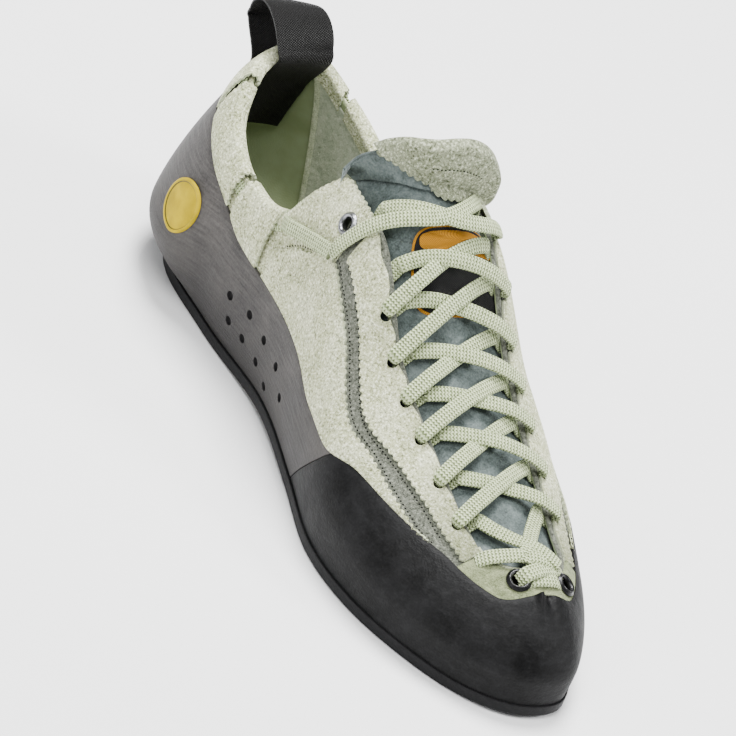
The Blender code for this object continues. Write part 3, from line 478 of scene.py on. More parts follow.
def braid(name, light, middle, dark):
    """Flat tubular lace of polyester yarn: a herringbone of small stitches, painted lighter on their tops
    as highlight and darker in the gaps between them as shade.
    The UV map is in millimetres, across and along the lace; the yarns are 1.15 to 1.25 mm
    apart, a little coarser than real ones, so that they show from the camera."""
    material, tree, shader = finish(name, Roughness=0.75, Sheen_Weight=0.1, Sheen_Roughness=0.5,
                                    Specular_IOR_Level=0.2)
    axes = add(tree, "SeparateXYZ", {"Vector": add(tree, "UVMap").outputs["UV"]})
    ribs = add(tree, "Math", {0: axes.outputs["X"], 1: 2 * math.pi / 1.25}, operation="MULTIPLY").outputs[0]
    rib = add(tree, "Math", {0: ribs}, operation="SINE").outputs[0]
    lean = add(tree, "Math", {0: rib, 1: 1.1}, operation="MULTIPLY").outputs[0]
    turns = add(tree, "Math", {0: axes.outputs["Y"], 1: 2 * math.pi / 1.15}, operation="MULTIPLY").outputs[0]
    phase = add(tree, "Math", {0: turns, 1: lean}, operation="ADD").outputs[0]
    wave = add(tree, "Math", {0: phase}, operation="SINE").outputs[0]
    lift = add(tree, "MapRange", {"Value": wave, "From Min": -1.0, "From Max": 1.0}).outputs[0]
    yarn = add(tree, "Math", {0: rib, 1: 0.25}, operation="MULTIPLY").outputs[0]
    worn = add(tree, "TexNoise", {"Vector": add(tree, "TexCoord").outputs["Object"], "Scale": per_mm(1.4),
                                  "Detail": 2.0})
    both = add(tree, "Math", {0: lift, 1: worn.outputs["Fac"]}, operation="ADD").outputs[0]
    level = add(tree, "Math", {0: both, 1: yarn}, operation="ADD").outputs[0]
    half = add(tree, "Math", {0: level, 1: 0.5}, operation="MULTIPLY").outputs[0]
    # painted highlight on the raised stitches and painted shade in the gaps between them
    colour = add(tree, "ValToRGB", {"Fac": half}, stops=((0.20, dark), (0.42, middle), (0.72, light)))
    tree.links.new(colour.outputs["Color"], shader.inputs["Base Color"])
    bumps = add(tree, "Bump", {"Height": lift, "Distance": 0.0004})
    tree.links.new(bumps.outputs["Normal"], shader.inputs["Normal"])
    return material


def ground_rubber(name, light, middle, dark, rough, streak=(0.09, 0.8), dust=24.0, shine=0.3, shade=0.0):
    """Climbing rubber, ground with a belt and dusty: satin, with fine streaks along the band. Toward the ground
    its colour is darkened by the share shade, as painted shade."""
    material, tree, shader = finish(name, Roughness=rough, Specular_IOR_Level=shine)
    drawn = add(tree, "Mapping", {"Vector": add(tree, "UVMap").outputs["UV"], "Scale": (*streak, 1.0)})
    streaks = add(tree, "TexNoise", {"Vector": drawn.outputs["Vector"], "Scale": 1.0, "Detail": 5.0,
                                     "Roughness": 0.65})
    spot = add(tree, "TexCoord").outputs["Object"]
    clouds = add(tree, "TexNoise", {"Vector": spot, "Scale": per_mm(dust), "Detail": 4.0})
    grain = add(tree, "TexNoise", {"Vector": spot, "Scale": per_mm(0.8), "Detail": 2.0})
    drag = add(tree, "ValToRGB", {"Fac": streaks.outputs["Fac"]},
               stops=((0.32, dark), (0.5, middle), (0.70, light))).outputs["Color"]
    haze = add(tree, "ValToRGB", {"Fac": clouds.outputs["Fac"]},
               stops=((0.38, dark), (0.64, light))).outputs["Color"]
    base = add(tree, "Mix", {0: 0.5, 6: drag, 7: haze}, data_type="RGBA").outputs[2]
    fine = add(tree, "ValToRGB", {"Fac": grain.outputs["Fac"]},
               stops=((0.3, dark), (0.7, light))).outputs["Color"]
    dusty = add(tree, "Mix", {0: 0.22, 6: base, 7: fine}, data_type="RGBA").outputs[2]
    # painted shade: the colour goes darker toward the ground
    height = add(tree, "SeparateXYZ", {"Vector": spot}).outputs["Z"]
    rubbed = add(tree, "MapRange", {"Value": height, "From Min": 0.010, "From Max": 0.040, "To Min": shade,
                                    "To Max": 0.0}).outputs[0]
    colour = add(tree, "Mix", {0: rubbed, 6: dusty, 7: linear(dark)}, data_type="RGBA").outputs[2]
    tree.links.new(colour, shader.inputs["Base Color"])
    gloss = add(tree, "MapRange", {"Value": clouds.outputs["Fac"], "From Min": 0.3, "From Max": 0.7,
                                   "To Min": rough - 0.08, "To Max": rough + 0.12})
    tree.links.new(gloss.outputs[0], shader.inputs["Roughness"])
    scratches = add(tree, "Bump", {"Height": streaks.outputs["Fac"],
                                   "Distance": GRIT_DEPTH * 2.5}).outputs["Normal"]
    grit = add(tree, "Bump", {"Height": grain.outputs["Fac"], "Distance": GRIT_DEPTH, "Normal": scratches})
    tree.links.new(grit.outputs["Normal"], shader.inputs["Normal"])
    return material


def woven_band(name, light, dark, rib=1.0, shine=0.35):
    """Woven webbing or ribbon: a ribbed plain weave with a slight shine on the tops of its yarns; the tops
    are painted lighter as highlight and the dips darker as shade.
    """
    material, tree, shader = finish(name, Roughness=0.5, Specular_IOR_Level=shine)
    axes = add(tree, "SeparateXYZ", {"Vector": add(tree, "UVMap").outputs["UV"]})
    waves = []
    for axis, size in (("X", rib), ("Y", rib * 0.8)):
        turn = add(tree, "Math", {0: axes.outputs[axis], 1: 2 * math.pi / size}, operation="MULTIPLY")
        waves.append(add(tree, "Math", {0: turn.outputs[0]}, operation="SINE").outputs[0])
    weave = add(tree, "Math", {0: waves[0], 1: waves[1]}, operation="MULTIPLY").outputs[0]
    lift = add(tree, "MapRange", {"Value": weave, "From Min": -1.0, "From Max": 1.0}).outputs[0]
    # painted highlight on the yarn tops and painted shade in the dips
    colour = add(tree, "ValToRGB", {"Fac": lift}, stops=((0.1, dark), (0.9, light)))
    tree.links.new(colour.outputs["Color"], shader.inputs["Base Color"])
    bumps = add(tree, "Bump", {"Height": lift, "Distance": 0.0003})
    tree.links.new(bumps.outputs["Normal"], shader.inputs["Normal"])
    return material


def brushed_microfibre(name, light, middle, dark):
    """Brushed microfibre over foam: soft, blue-grey, with a fine grain, pressed creases and rubbed patches."""
    material, tree, shader = finish(name, Roughness=0.7, Sheen_Weight=0.12, Sheen_Roughness=0.4,
                                    Specular_IOR_Level=0.3)
    where = add(tree, "TexCoord").outputs["Object"]
    rubbed = add(tree, "TexNoise", {"Vector": where, "Scale": per_mm(6), "Detail": 4.0, "Roughness": 0.6})
    fine = add(tree, "TexNoise", {"Vector": where, "Scale": per_mm(0.7), "Detail": 3.0})
    base = add(tree, "ValToRGB", {"Fac": rubbed.outputs["Fac"]},
               stops=((0.34, dark), (0.5, middle), (0.66, light))).outputs["Color"]
    grain = add(tree, "ValToRGB", {"Fac": fine.outputs["Fac"]},
                stops=((0.34, dark), (0.66, light))).outputs["Color"]
    colour = add(tree, "Mix", {0: 0.35, 6: base, 7: grain}, data_type="RGBA").outputs[2]
    tree.links.new(colour, shader.inputs["Base Color"])
    soft = add(tree, "Bump", {"Height": rubbed.outputs["Fac"], "Distance": 0.0012}).outputs["Normal"]
    nap = add(tree, "Bump", {"Height": fine.outputs["Fac"], "Distance": 0.0002, "Normal": soft})
    tree.links.new(nap.outputs["Normal"], shader.inputs["Normal"])
    return material


def smooth_coat(name, light, dark, rough, size=6.0, depth=0.0001, metallic=0.0, shine=0.3):
    """Smooth coated or moulded surface with a faint cloudiness and a fine grain."""
    material, tree, shader = finish(name, Roughness=rough, Metallic=metallic, Specular_IOR_Level=shine)
    where = add(tree, "TexCoord").outputs["Object"]
    cloud = add(tree, "TexNoise", {"Vector": where, "Scale": per_mm(size), "Detail": 3.0})
    grain = add(tree, "TexNoise", {"Vector": where, "Scale": per_mm(0.6), "Detail": 2.0})
    colour = add(tree, "ValToRGB", {"Fac": cloud.outputs["Fac"]}, stops=((0.36, dark), (0.64, light)))
    tree.links.new(colour.outputs["Color"], shader.inputs["Base Color"])
    bumps = add(tree, "Bump", {"Height": grain.outputs["Fac"], "Distance": depth})
    tree.links.new(bumps.outputs["Normal"], shader.inputs["Normal"])
    return material


SUEDE = split_suede("suede_sage_split_leather", "FBFCE4", "B7BB93", "474D2E", grain=0.8, speckle=0.74,
                    toe_darkening=0.6)
SUEDE_SMOOTH = split_suede("suede_vamp_buffed_fine", "A2A880", "7E8664", "4A5232", grain=0.5, speckle=0.5)
SUEDE_DARK = split_suede("suede_underlay_sage", "8B8E80", "62655A", "24271E", grain=0.9, speckle=0.8)
# grey-green flap suede, painted darker than the other suede as shade on the flap's face
SUEDE_FLAP_PAINTED_SHADE = split_suede("suede_flap_grey_green_painted_shade", "C9CDB3", "7F856B", "30351F", grain=0.9, speckle=0.8)
# cut edges: the raw edge is paler than the face, and painted paler still as the highlight the edges catch
SUEDE_EDGE_PAINTED_HIGHLIGHT = split_suede("suede_cut_edge_pale", "DDE2C8", "BDC4A4", "7F8766", grain=0.5)
# both linings are painted brighter than their own olive and grey-green, as painted light inside the shoe
LINING_PAINTED_LIGHT = smooth_coat("lining_coated_olive_painted_light", "95A07C", "848F68", 0.62, size=14.0)
LINING_PALE_PAINTED_LIGHT = split_suede("lining_brushed_grey_green_painted_light", "CDD2BE", "B3BAA2", "8A927A", speckle=0.4)
MICROFIBRE = brushed_microfibre("tongue_microfibre_brushed", "6C7775", "4B5654", "2C3533")
LACE = braid("lace_polyester_flat_braid", "CFDAAF", "A2AE80", "5A6640")
# the heel rand's rubber carries painted shade toward the ground
HEEL_RUBBER = ground_rubber("heel_rand_rubber_ground", "5E5B58", "413E3D", "1D1B1B", 0.55, shine=0.2, shade=0.7)
TOE_RUBBER = ground_rubber("toe_rand_rubber_ground", "222223", "0C0C0C", "050505", 0.52, streak=(0.25, 0.4),
                           dust=13.0, shine=0.1)
SOLE_RUBBER = ground_rubber("sole_rubber_smooth", "1F1F20", "121213", "09090A", 0.55, streak=(0.15, 0.6),
                            shine=0.15)
# black that stands for shadow: the needle holes and the strip down the heel's back are painted shadow
SHADOW_BLACK = smooth_coat("rubber_shadow_black", "0B0A0B", "060506", 0.6, shine=0.15)
WEBBING = woven_band("loop_polypropylene_webbing", "0F0E0D", "030303", shine=0.2)
LABEL = woven_band("label_woven_satin", "131315", "050506", rib=0.7)
LABEL_EDGE = woven_band("label_edge_amber_thread", "E09A12", "96600A", rib=0.7)
RING_BLACK = smooth_coat("eyelet_black_enamel", "0C0C0D", "060607", 0.28)
RING_STEEL = smooth_coat("eyelet_nickel_plated", "8F9093", "77787B", 0.28, metallic=1.0, shine=0.5)
BADGE = smooth_coat("badge_moulded_yellow_rubber", "BEA400", "A08A00", 0.55, size=8.0, shine=0.08)
BADGE_RIM = smooth_coat("badge_rim_dark", "3A3707", "2A2805", 0.55)
BOARD = smooth_coat("insole_fibre_board", "5E6650", "4A523F", 0.9, size=3.0, depth=0.0002)


# mesh helpers
def grid(name, spots, uv, materials, closed=False):
    """Piece from an array of points, rows by columns; rows are the grid's second direction."""
    rows, columns = spots.shape[:2]
    build = bmesh.new()
    bmesh.ops.create_grid(build, x_segments=columns - 1, y_segments=rows - 1, size=1.0)
    build.verts.index_update()
    places, chart = spots.reshape(-1, 3), uv.reshape(-1, 2)
    layer = build.loops.layers.uv.new("UVMap")
    for vert in build.verts:
        vert.co = places[vert.index]
    for face in build.faces:
        for loop in face.loops:
            loop[layer].uv = chart[loop.vert.index]
    if closed:
        bmesh.ops.remove_doubles(build, verts=build.verts, dist=1e-6)
    return piece_from(name, build, materials)


def piece_from(name, build, materials):
    """Smooth-shaded object from a bmesh, which is freed."""
    mesh = bpy.data.meshes.new(name)
    build.to_mesh(mesh)
    build.free()
    mesh.shade_smooth()
    piece = bpy.data.objects.new(name, mesh)
    bpy.context.collection.objects.link(piece)
    for material in materials:
        mesh.materials.append(material)
    return piece


def thicken(piece, thickness, edge=0, even=True):
    """Gives a sheet its thickness, with cut edges of their own material, and takes the edges' bite off."""
    wall = piece.modifiers.new("wall", "SOLIDIFY")
    wall.thickness = thickness
    wall.offset = -1.0
    wall.use_even_offset = even
    wall.material_offset_rim = edge
    soften = piece.modifiers.new("soft_edges", "BEVEL")
    soften.width = EDGE_ROUND
    soften.segments = 2
    soften.limit_method = "ANGLE"
    soften.angle_limit = math.radians(50)
    soften.harden_normals = True
    return piece


def own(piece, slot, *nodes):
    """Rides a piece on the shoe's one body and hides the solids that it stands for; slot is not used."""
    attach(piece, "root")
    if nodes:
        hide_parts(*nodes)
    return piece


def runs(spots):
    """Length along each column's polyline, in millimetres."""
    step = np.linalg.norm(np.diff(spots, axis=0), axis=-1)
    return np.concatenate([np.zeros((1,) + step.shape[1:]), np.cumsum(step, axis=0)]) * 1000


def teeth(run_mm, pitch=TOOTH, depth=TOOTH_DEPTH):
    """Pinked edge: round lobes with sharp notches between them."""
    return depth * (np.abs(np.sin(np.pi * run_mm / (pitch * 1000))) ** 0.8 - 1.0)


def follow(along, points, targets):
    """Points at other lengths along a polyline."""
    return np.stack([np.interp(targets, along, points[:, k]) for k in range(3)], -1)


def pink_end(spots, line, reach_mm, *tooth):
    """Cuts teeth into the first or last line of a sheet, by moving the points near it along the sheet."""
    shift = -teeth(runs(spots[line][:, None, :])[:, 0], *tooth) * 1000
    along = runs(spots)
    for j in range(spots.shape[1]):
        total = along[-1, j]
        away = along[:, j] if line == 0 else total - along[:, j]
        moved = away + shift[j] * np.clip(1 - away / reach_mm, 0, 1)
        spots[:, j] = follow(along[:, j], spots[:, j], moved if line == 0 else total - moved)


def panel(name, start, end, low, high, outs, materials, thickness, pinked="", step=0.0006, rows=36,
          edge=0, slant=None):
    """Sheet on the last between two stations and two lines, with pinked edges where asked.

    low, high: arc of each edge at a station; outs(place, shares, arcs): height over the last.
    pinked: which of "low", "high", "start", "end" are cut with teeth. slant: stations of the start and
    of the end at each share of the height, where a seam leans.
    """
    if end < start:
        end += STATIONS
    count = max(int((end - start) * PITCH / step), 8)
    us = np.linspace(start, end, count + 1)
    places = [near(u) for u in us]
    shares = np.linspace(0, 1, rows + 1)
    shares = 0.5 - 0.5 * np.cos(np.pi * shares) if pinked else shares
    lows, highs = np.array([low(p) for p in places]), np.array([high(p) for p in places])
    low_line = np.array([p.point(a) for p, a in zip(places, lows)])
    high_line = np.array([p.point(a) for p, a in zip(places, highs)])
    fade_low = np.clip(1 - shares[None, :] * (highs - lows)[:, None] / 0.003, 0, 1)
    fade_high = np.clip(1 - (1 - shares)[None, :] * (highs - lows)[:, None] / 0.003, 0, 1)
    arcs = lows[:, None] + (highs - lows)[:, None] * shares[None, :]
    if "low" in pinked:
        arcs -= (teeth(runs(low_line))[:, None]) * fade_low
    if "high" in pinked:
        arcs += (teeth(runs(high_line))[:, None]) * fade_high
    spots = np.array([p.points(a, outs(p, shares, a)) for p, a in zip(places, arcs)])
    along_us = np.broadcast_to(us[:, None], arcs.shape).copy()
    if slant:
        for j, share in enumerate(shares):
            first, last = slant(share)
            along_us[:, j] = np.linspace(first, last, len(us))
            spots[:, j] = follow(us, spots[:, j], along_us[:, j])
    for word, line in (("start", 0), ("end", -1)):
        if word in pinked:
            pink_end(spots, line, 3.0)
    uv = np.stack([along_us * PITCH * 1000, arcs * 1000], -1)
    spots, uv = spots.transpose(1, 0, 2), uv.transpose(1, 0, 2)
    made = grid(name, spots, uv, materials)
    if thickness:
        thicken(made, thickness, edge)
    return made


def tube(name, points, normals, widths, thicknesses, materials, sides=20, bows=None, square=2.6):
    """Flat cord or webbing along points: a flattened round section whose UV map is in millimetres."""
    points, normals = np.array(points, float), np.array(normals, float)
    tangents = np.gradient(points, axis=0)
    tangents /= np.linalg.norm(tangents, axis=1)[:, None]
    side = np.cross(tangents, normals)
    side /= np.linalg.norm(side, axis=1)[:, None]
    up = np.cross(side, tangents)
    turn = np.linspace(0, 2 * np.pi, sides + 1)
    a = np.sign(np.cos(turn)) * np.abs(np.cos(turn)) ** (2 / square)
    b = np.sign(np.sin(turn)) * np.abs(np.sin(turn)) ** (2 / square)
    widths = np.broadcast_to(widths, len(points))
    thicknesses = np.broadcast_to(thicknesses, len(points))
    bows = np.zeros(len(points)) if bows is None else np.asarray(bows)
    spots = (points[:, None] + side[:, None] * (a[None, :] * widths[:, None] / 2)[..., None]
             + up[:, None] * (b[None, :] * thicknesses[:, None] / 2
                              + bows[:, None] * a[None, :] ** 2)[..., None])
    run = runs(points[:, None])[:, 0]
    around = np.concatenate([[0], np.cumsum(np.hypot(np.diff(a) * np.mean(widths) / 2,
                                                     np.diff(b) * np.mean(thicknesses) / 2))]) * 1000
    uv = np.stack([np.broadcast_to(around[None, :], spots.shape[:2]),
                   np.broadcast_to(run[:, None], spots.shape[:2])], -1)
    made = grid(name, spots, uv, materials, closed=True)
    build = bmesh.new()
    build.from_mesh(made.data)
    bmesh.ops.holes_fill(build, edges=[e for e in build.edges if e.is_boundary], sides=sides + 2)
    bmesh.ops.recalc_face_normals(build, faces=build.faces)
    build.to_mesh(made.data)
    build.free()
    made.data.shade_smooth()
    return made


def join(name, pieces):
    """One piece from several."""
    build = bmesh.new()
    for piece in pieces:
        build.from_mesh(piece.data)
    made = piece_from(name, build, list(pieces[0].data.materials))
    for piece in pieces:
        bpy.data.objects.remove(piece)
    return made


def cut(piece, cutters):
    """Cuts holes with closed shapes, then keeps the result as the piece's own mesh."""
    tool = join("cutters", cutters)
    modifier = piece.modifiers.new("holes", "BOOLEAN")
    modifier.operation = "DIFFERENCE"
    modifier.solver = "EXACT"
    modifier.object = tool
    bpy.context.view_layer.update()
    ready = piece.evaluated_get(bpy.context.evaluated_depsgraph_get())
    mesh = bpy.data.meshes.new_from_object(ready)
    piece.modifiers.clear()
    piece.data = mesh
    bpy.data.objects.remove(tool)


def frame_at(spot, way):
    """Transform that puts a shape at a spot with its Z along a way."""
    return Matrix.Translation(Vector(spot)) @ Vector(way).to_track_quat("Z", "Y").to_matrix().to_4x4()


def facing(u, arc):
    """The surface's outward way at a station, this far up it."""
    along = near(u + 0.4).point(arc) - near(u - 0.4).point(arc)
    upward = near(u).point(arc + 0.001) - near(u).point(arc - 0.001)
    way = np.cross(along, upward)
    return way / np.linalg.norm(way)


def peg(at, way, diameter, depth, material):
    """Round cutter for a hole."""
    build = bmesh.new()
    bmesh.ops.create_cone(build, cap_ends=True, segments=24, radius1=diameter / 2, radius2=diameter / 2,
                          depth=depth)
    build.transform(frame_at(at, way))
    return piece_from("peg", build, [material])


def hole_place(at, side, inset):
    """Station and arc of a hole, this far below the top edge."""
    place = near(station_at(at, side))
    return place, place.top - inset


def plan(place, arc):
    """Plan point of a place on the last."""
    return place.point(arc)[:2]


# upper: lasted shell with its lining
def make_upper():
    """Lasted shell: outside, rounded top edge, and lining down its inside."""
    us = np.linspace(0, STATIONS, 640 + 1)
    places = [near(u) for u in us]
    outside, inside, rim = 34, 26, 8
    spots, uv = [], []
    for u, place in zip(us, places):
        top = place.top - 0.0012 - 0.0012 * collar_part(place) - 0.0012 * tab_part(place)
        up = np.linspace(-0.0004, top, outside)
        turn = np.linspace(0, np.pi, rim + 2)[1:-1]
        half = WALL / 2
        rim_arcs = top + half * np.sin(turn)
        rim_outs = UPPER_OUT - half + half * np.cos(turn)
        down = np.linspace(top, 0.0, inside)
        arcs = np.concatenate([up, rim_arcs, down])
        outs = np.concatenate([np.full(outside, UPPER_OUT), rim_outs, np.full(inside, UPPER_IN)])
        spots.append(place.points(arcs, outs))
        uv.append(np.stack([np.full(len(arcs), u * PITCH * 1000), arcs * 1000], -1))
    spots, uv = np.array(spots).transpose(1, 0, 2), np.array(uv).transpose(1, 0, 2)
    made = grid("upper_shell", spots, uv, [SUEDE_DARK, LINING_PAINTED_LIGHT, SUEDE], closed=True)
    columns = len(us) - 1
    above_seam = [2 if place.share > TAB_START_AT else 0 for place in places]
    for number, face in enumerate(made.data.polygons):
        row, column_at = divmod(number, columns)
        face.material_index = 1 if row >= outside + rim // 2 else above_seam[column_at]
    return made


def collar_part(place):
    """1 along the collar, where the cuff rolls over the shell's edge, and 0 at the throat."""
    return float(np.clip((place.share - 0.69) / 0.03, 0, 1))


def tab_part(place):
    """1 behind the eyelet tab, whose notches stay open over the shell's edge."""
    return float(np.clip((place.share - 0.56) / 0.02, 0, 1) * np.clip((0.70 - place.share) / 0.02, 0, 1))


def edge_lobes(place, side):
    """The throat's edge dips in a little at each lace hole and swells between them."""
    shift = INNER_SHIFT if side == INNER else 0.0
    holes = [at + shift for at in HOLES_AT] + [TOP_ROW[0] + shift]
    nearest = min(abs(place.share - at) for at in holes) * LENGTH
    return 0.0013 * float(np.clip(nearest / 0.0055, 0, 1)) ** 1.3 - 0.0024


def rolled(depth, reach):
    """Height over the last of a sheet whose upper edge rolls down by this depth over this reach."""
    def outs(place, shares, arcs):
        x = np.clip((arcs - (place.top - reach)) / reach, 0, 1.2)
        return STAY_OUT - depth * x ** 2.2
    return outs


def mirrored(side, low_at, high_at):
    """Stations between two shares of the length on a side, in the outline's running order."""
    a, b = station_at(low_at, side), station_at(high_at, side)
    return (min(a, b), max(a, b))


def make_side(side, word):
    """Quarter, eyestay and eyelet tab of one side."""
    start, end = mirrored(side, 0.202, 0.698)
    quarter = panel(f"quarter_{word}", start, end, lambda p: p.rand + TRIM,
                    lambda p: p.between(SEAMS, "quarter"),
                    lambda p, s, a: -0.00045 + 0.0003 * np.sin(np.pi * s), [SUEDE, SUEDE_EDGE_PAINTED_HIGHLIGHT], 0.0010,
                    pinked="high", edge=1)
    own(quarter, "sage_suede")
    start, end = mirrored(side, TOE_SEAM, STAY_END)
    stay = panel(f"eyestay_{word}", start, end, lambda p: p.between(SEAMS, "stay"),
                 lambda p: p.top + edge_lobes(p, side), rolled(0.0011, 0.0050), [SUEDE, SUEDE_EDGE_PAINTED_HIGHLIGHT],
                 EYESTAY_THICKNESS, pinked="low", edge=1, rows=40)
    start, end = mirrored(side, *TAB_SPAN)
    proud = 0.0030 if side == INNER else 0.0004

    def tab_top(place):
        middle = (place.share - TAB_SPAN[0]) / (TAB_SPAN[1] - TAB_SPAN[0])
        return place.top + proud * math.sin(math.pi * float(np.clip(middle, 0, 1)))

    tab = panel(f"eyelet_tab_{word}", start, end, lambda p: p.between(TAB, "low"), tab_top,
                lambda p, s, a: STAY_OUT + 0.0004 * np.sin(np.pi * s) + proud * 0.3 * s ** 3,
                [SUEDE, SUEDE_EDGE_PAINTED_HIGHLIGHT], EYESTAY_THICKNESS, pinked="low high start end", edge=1, rows=44,
                step=0.0005)
    own(stay, "sage_suede", f"eyestay_{word}")
    own(tab, "sage_suede", f"eyestay_{word}")
    return stay, tab


def make_cuff(name, start, end):
    """Padded sleeve over the collar's edge, rolled to the inside."""
    if end < start:
        end += STATIONS
    count = int((end - start) * PITCH / 0.0006)
    us = np.linspace(start, end, count + 1)
    spots, uv = [], []
    rise = np.linspace(0, 1, 30)
    turn = np.linspace(0, np.pi, 16)[1:]
    inner = UPPER_IN - 0.0012
    for u in us:
        place = near(u)
        top = place.top - 0.0004
        low = place.rand + TRIM
        face_outs = -0.0003 + 0.0019 * np.sin(np.pi * np.clip(rise * 0.80 + 0.02, 0, 1)) ** 0.8
        edge_out = face_outs[-1]
        half = (edge_out - inner) / 2
        arcs = np.concatenate([low + (top - low) * rise, top + 0.0017 * np.sin(turn),
                               top - 0.0060 * np.linspace(0, 1, 8)[1:]])
        outs = np.concatenate([face_outs, edge_out - half + half * np.cos(turn), np.full(7, inner)])
        spots.append(place.points(arcs, outs))
        across = np.abs(np.diff(arcs, prepend=arcs[0])) + np.abs(np.diff(outs, prepend=outs[0]))
        uv.append(np.stack([np.full(len(arcs), u * PITCH * 1000), np.cumsum(across) * 1000], -1))
    spots, uv = np.array(spots), np.array(uv)
    for line in (0, -1):
        pink_end(spots, line, 2.5, CUFF_TOOTH, CUFF_TOOTH_DEPTH)
    made = grid(name, spots.transpose(1, 0, 2), uv.transpose(1, 0, 2), [SUEDE, SUEDE_EDGE_PAINTED_HIGHLIGHT])
    thicken(made, 0.0009, 1)
    return own(made, "sage_suede", name)


def make_cuffs():
    """Segments of the collar's sleeve, with a gap at each cut."""
    half_gap = 0.0014 / LENGTH
    front, middle, rear = CUFF_CUTS
    front += 2 * half_gap
    for name, start, end in (
            ("cuff_lateral_front", station_at(middle - half_gap, OUTER), station_at(front, OUTER)),
            ("cuff_lateral_rear", station_at(rear - half_gap, OUTER), station_at(middle + half_gap, OUTER)),
            ("cuff_heel", station_at(rear + half_gap, INNER), station_at(rear + half_gap, OUTER)),
            ("cuff_medial_rear", station_at(middle + half_gap, INNER), station_at(rear - half_gap, INNER)),
            ("cuff_medial_front", station_at(front, INNER), station_at(middle - half_gap, INNER))):
        make_cuff(name, start, end)


def seam_station(share, side, gap):
    """Station of the seam between the two rands: it leans toward the toe on its way up."""
    return station_at(SEAM_FOOT - SEAM_LEAN * share + gap, side)


def feathered(place, shares, arcs):
    """Height over the last of a rand: its upper edge is skived thinner."""
    return -0.0003 * np.clip(1 - (place.rand - arcs) / 0.0016, 0, 1)


def make_rands():
    """Toe rand with a fold at its tip, and heel rand with its vent holes."""
    gap = 0.00025 / LENGTH

    def toe_outs(place, shares, arcs):
        x = place.u - TOE_STATION - FOLD_AT
        height = np.clip((arcs - place.rand + 0.012) / 0.012, 0, 1) ** 1.3
        ridge = (FOLD_RIDGE * math.exp(-((x + 0.45) / 0.40) ** 2)
                 - FOLD_HOLLOW * math.exp(-((x - 0.50) / 0.40) ** 2))
        return ridge * height + feathered(place, shares, arcs)

    def toe_ends(share):
        return seam_station(share, OUTER, -gap), seam_station(share, INNER, -gap)

    toe = panel("toe_rand_rubber", station_at(SEAM_FOOT, OUTER), station_at(SEAM_FOOT, INNER),
                lambda p: -TRIM, lambda p: p.rand + TRIM, toe_outs, [TOE_RUBBER], RAND_THICKNESS, rows=48,
                step=0.0005, slant=toe_ends)
    own(toe, "toe_rand_rubber", "toe_rand")

    def heel_ends(share):
        return seam_station(share, INNER, gap), seam_station(share, OUTER, gap) + STATIONS

    heel = panel("heel_rand_rubber", station_at(SEAM_FOOT - SEAM_LEAN, INNER),
                 station_at(SEAM_FOOT - SEAM_LEAN, OUTER), lambda p: -TRIM, lambda p: p.rand + TRIM, feathered,
                 [HEEL_RUBBER, SHADOW_BLACK], RAND_THICKNESS, rows=48, step=0.0008, slant=heel_ends)
    pegs = []
    for vent in VENTS:
        place = near(station_at(vent.at, OUTER))
        arc = place.at_height(vent.up * HEEL_HEIGHT)
        pegs.append(peg(place.point(arc, 0.0002), facing(place.u, arc), VENT_DIAMETER, 0.0022, SHADOW_BLACK))
    cut(heel, pegs)
    own(heel, "rand_rubber", "heel_rand")


def lining_seam(share):
    """Station where the brushed medial lining ends, at a share of the way up the wall."""
    return station_at(0.985 - 0.05 * (1 - share) ** 0.6, INNER)


def make_medial_lining():
    """Brushed lining sewn over the smooth one along the medial wall, with a pale tape on its rear seam."""
    front = station_at(0.50, INNER)
    made = panel("lining_medial", front, lining_seam(1.0), lambda p: 0.004, lambda p: p.top - 0.0045,
                 lambda p, s, a: UPPER_IN - 0.0001, [LINING_PALE_PAINTED_LIGHT], 0.0006, step=0.0008,
                 slant=lambda share: (front, lining_seam(share)))
    own(made, "insole_board")
    points, normals = [], []
    for share in np.linspace(0.15, 1, 60):
        place = near(lining_seam(share))
        arc = 0.004 + (place.top - 0.0085) * share
        points.append(place.point(arc, UPPER_IN - 0.0009))
        normals.append(-facing(place.u, arc))
    own(tube("lining_seam_tape", points, normals, 0.0022, 0.0006, [SUEDE_EDGE_PAINTED_HIGHLIGHT], sides=12), "insole_board")


def make_heel_shadow_strip():
    """Thin black strip down the back of the heel: painted shadow along the heel's back edge."""
    made = panel("heel_shadow_strip", -0.85, 0.85, lambda p: 0.0105, lambda p: p.rand - 0.0012,
                 lambda p, s, a: 0.00055 - 0.0002 * np.abs(s - 0.5), [SHADOW_BLACK], 0.0006, rows=60)
    own(made, "sole_rubber")


def make_toe_vamp():
    """Buffed suede between the toe rand and the throat."""
    start, end = station_at(TOE_SEAM - 0.002, OUTER), station_at(TOE_SEAM - 0.002, INNER)
    made = panel("toe_vamp", start, end, lambda p: p.rand + TRIM, lambda p: p.top - 0.0010,
                 lambda p, s, a: -0.0005 - 0.0007 * np.clip((s - 0.75) / 0.25, 0, 1) ** 2,
                 [SUEDE_SMOOTH, SUEDE_EDGE_PAINTED_HIGHLIGHT], 0.0010, rows=30, edge=1)
    return made


def make_piping():
    """Thin rolled edge round the throat's toe end."""
    start, end = station_at(0.175, OUTER), station_at(0.100, INNER)
    us = np.linspace(start, end, 150)
    points = np.array([near(u).point(near(u).top - 0.0006, -0.0016) for u in us])
    normals = np.array([near(u).point(near(u).top, 0.001) - near(u).point(near(u).top) for u in us])
    made = tube("throat_piping", points, normals, 0.0013, 0.0013, [SUEDE_EDGE_PAINTED_HIGHLIGHT], sides=12, square=2.0)
    own(made, "sage_suede")


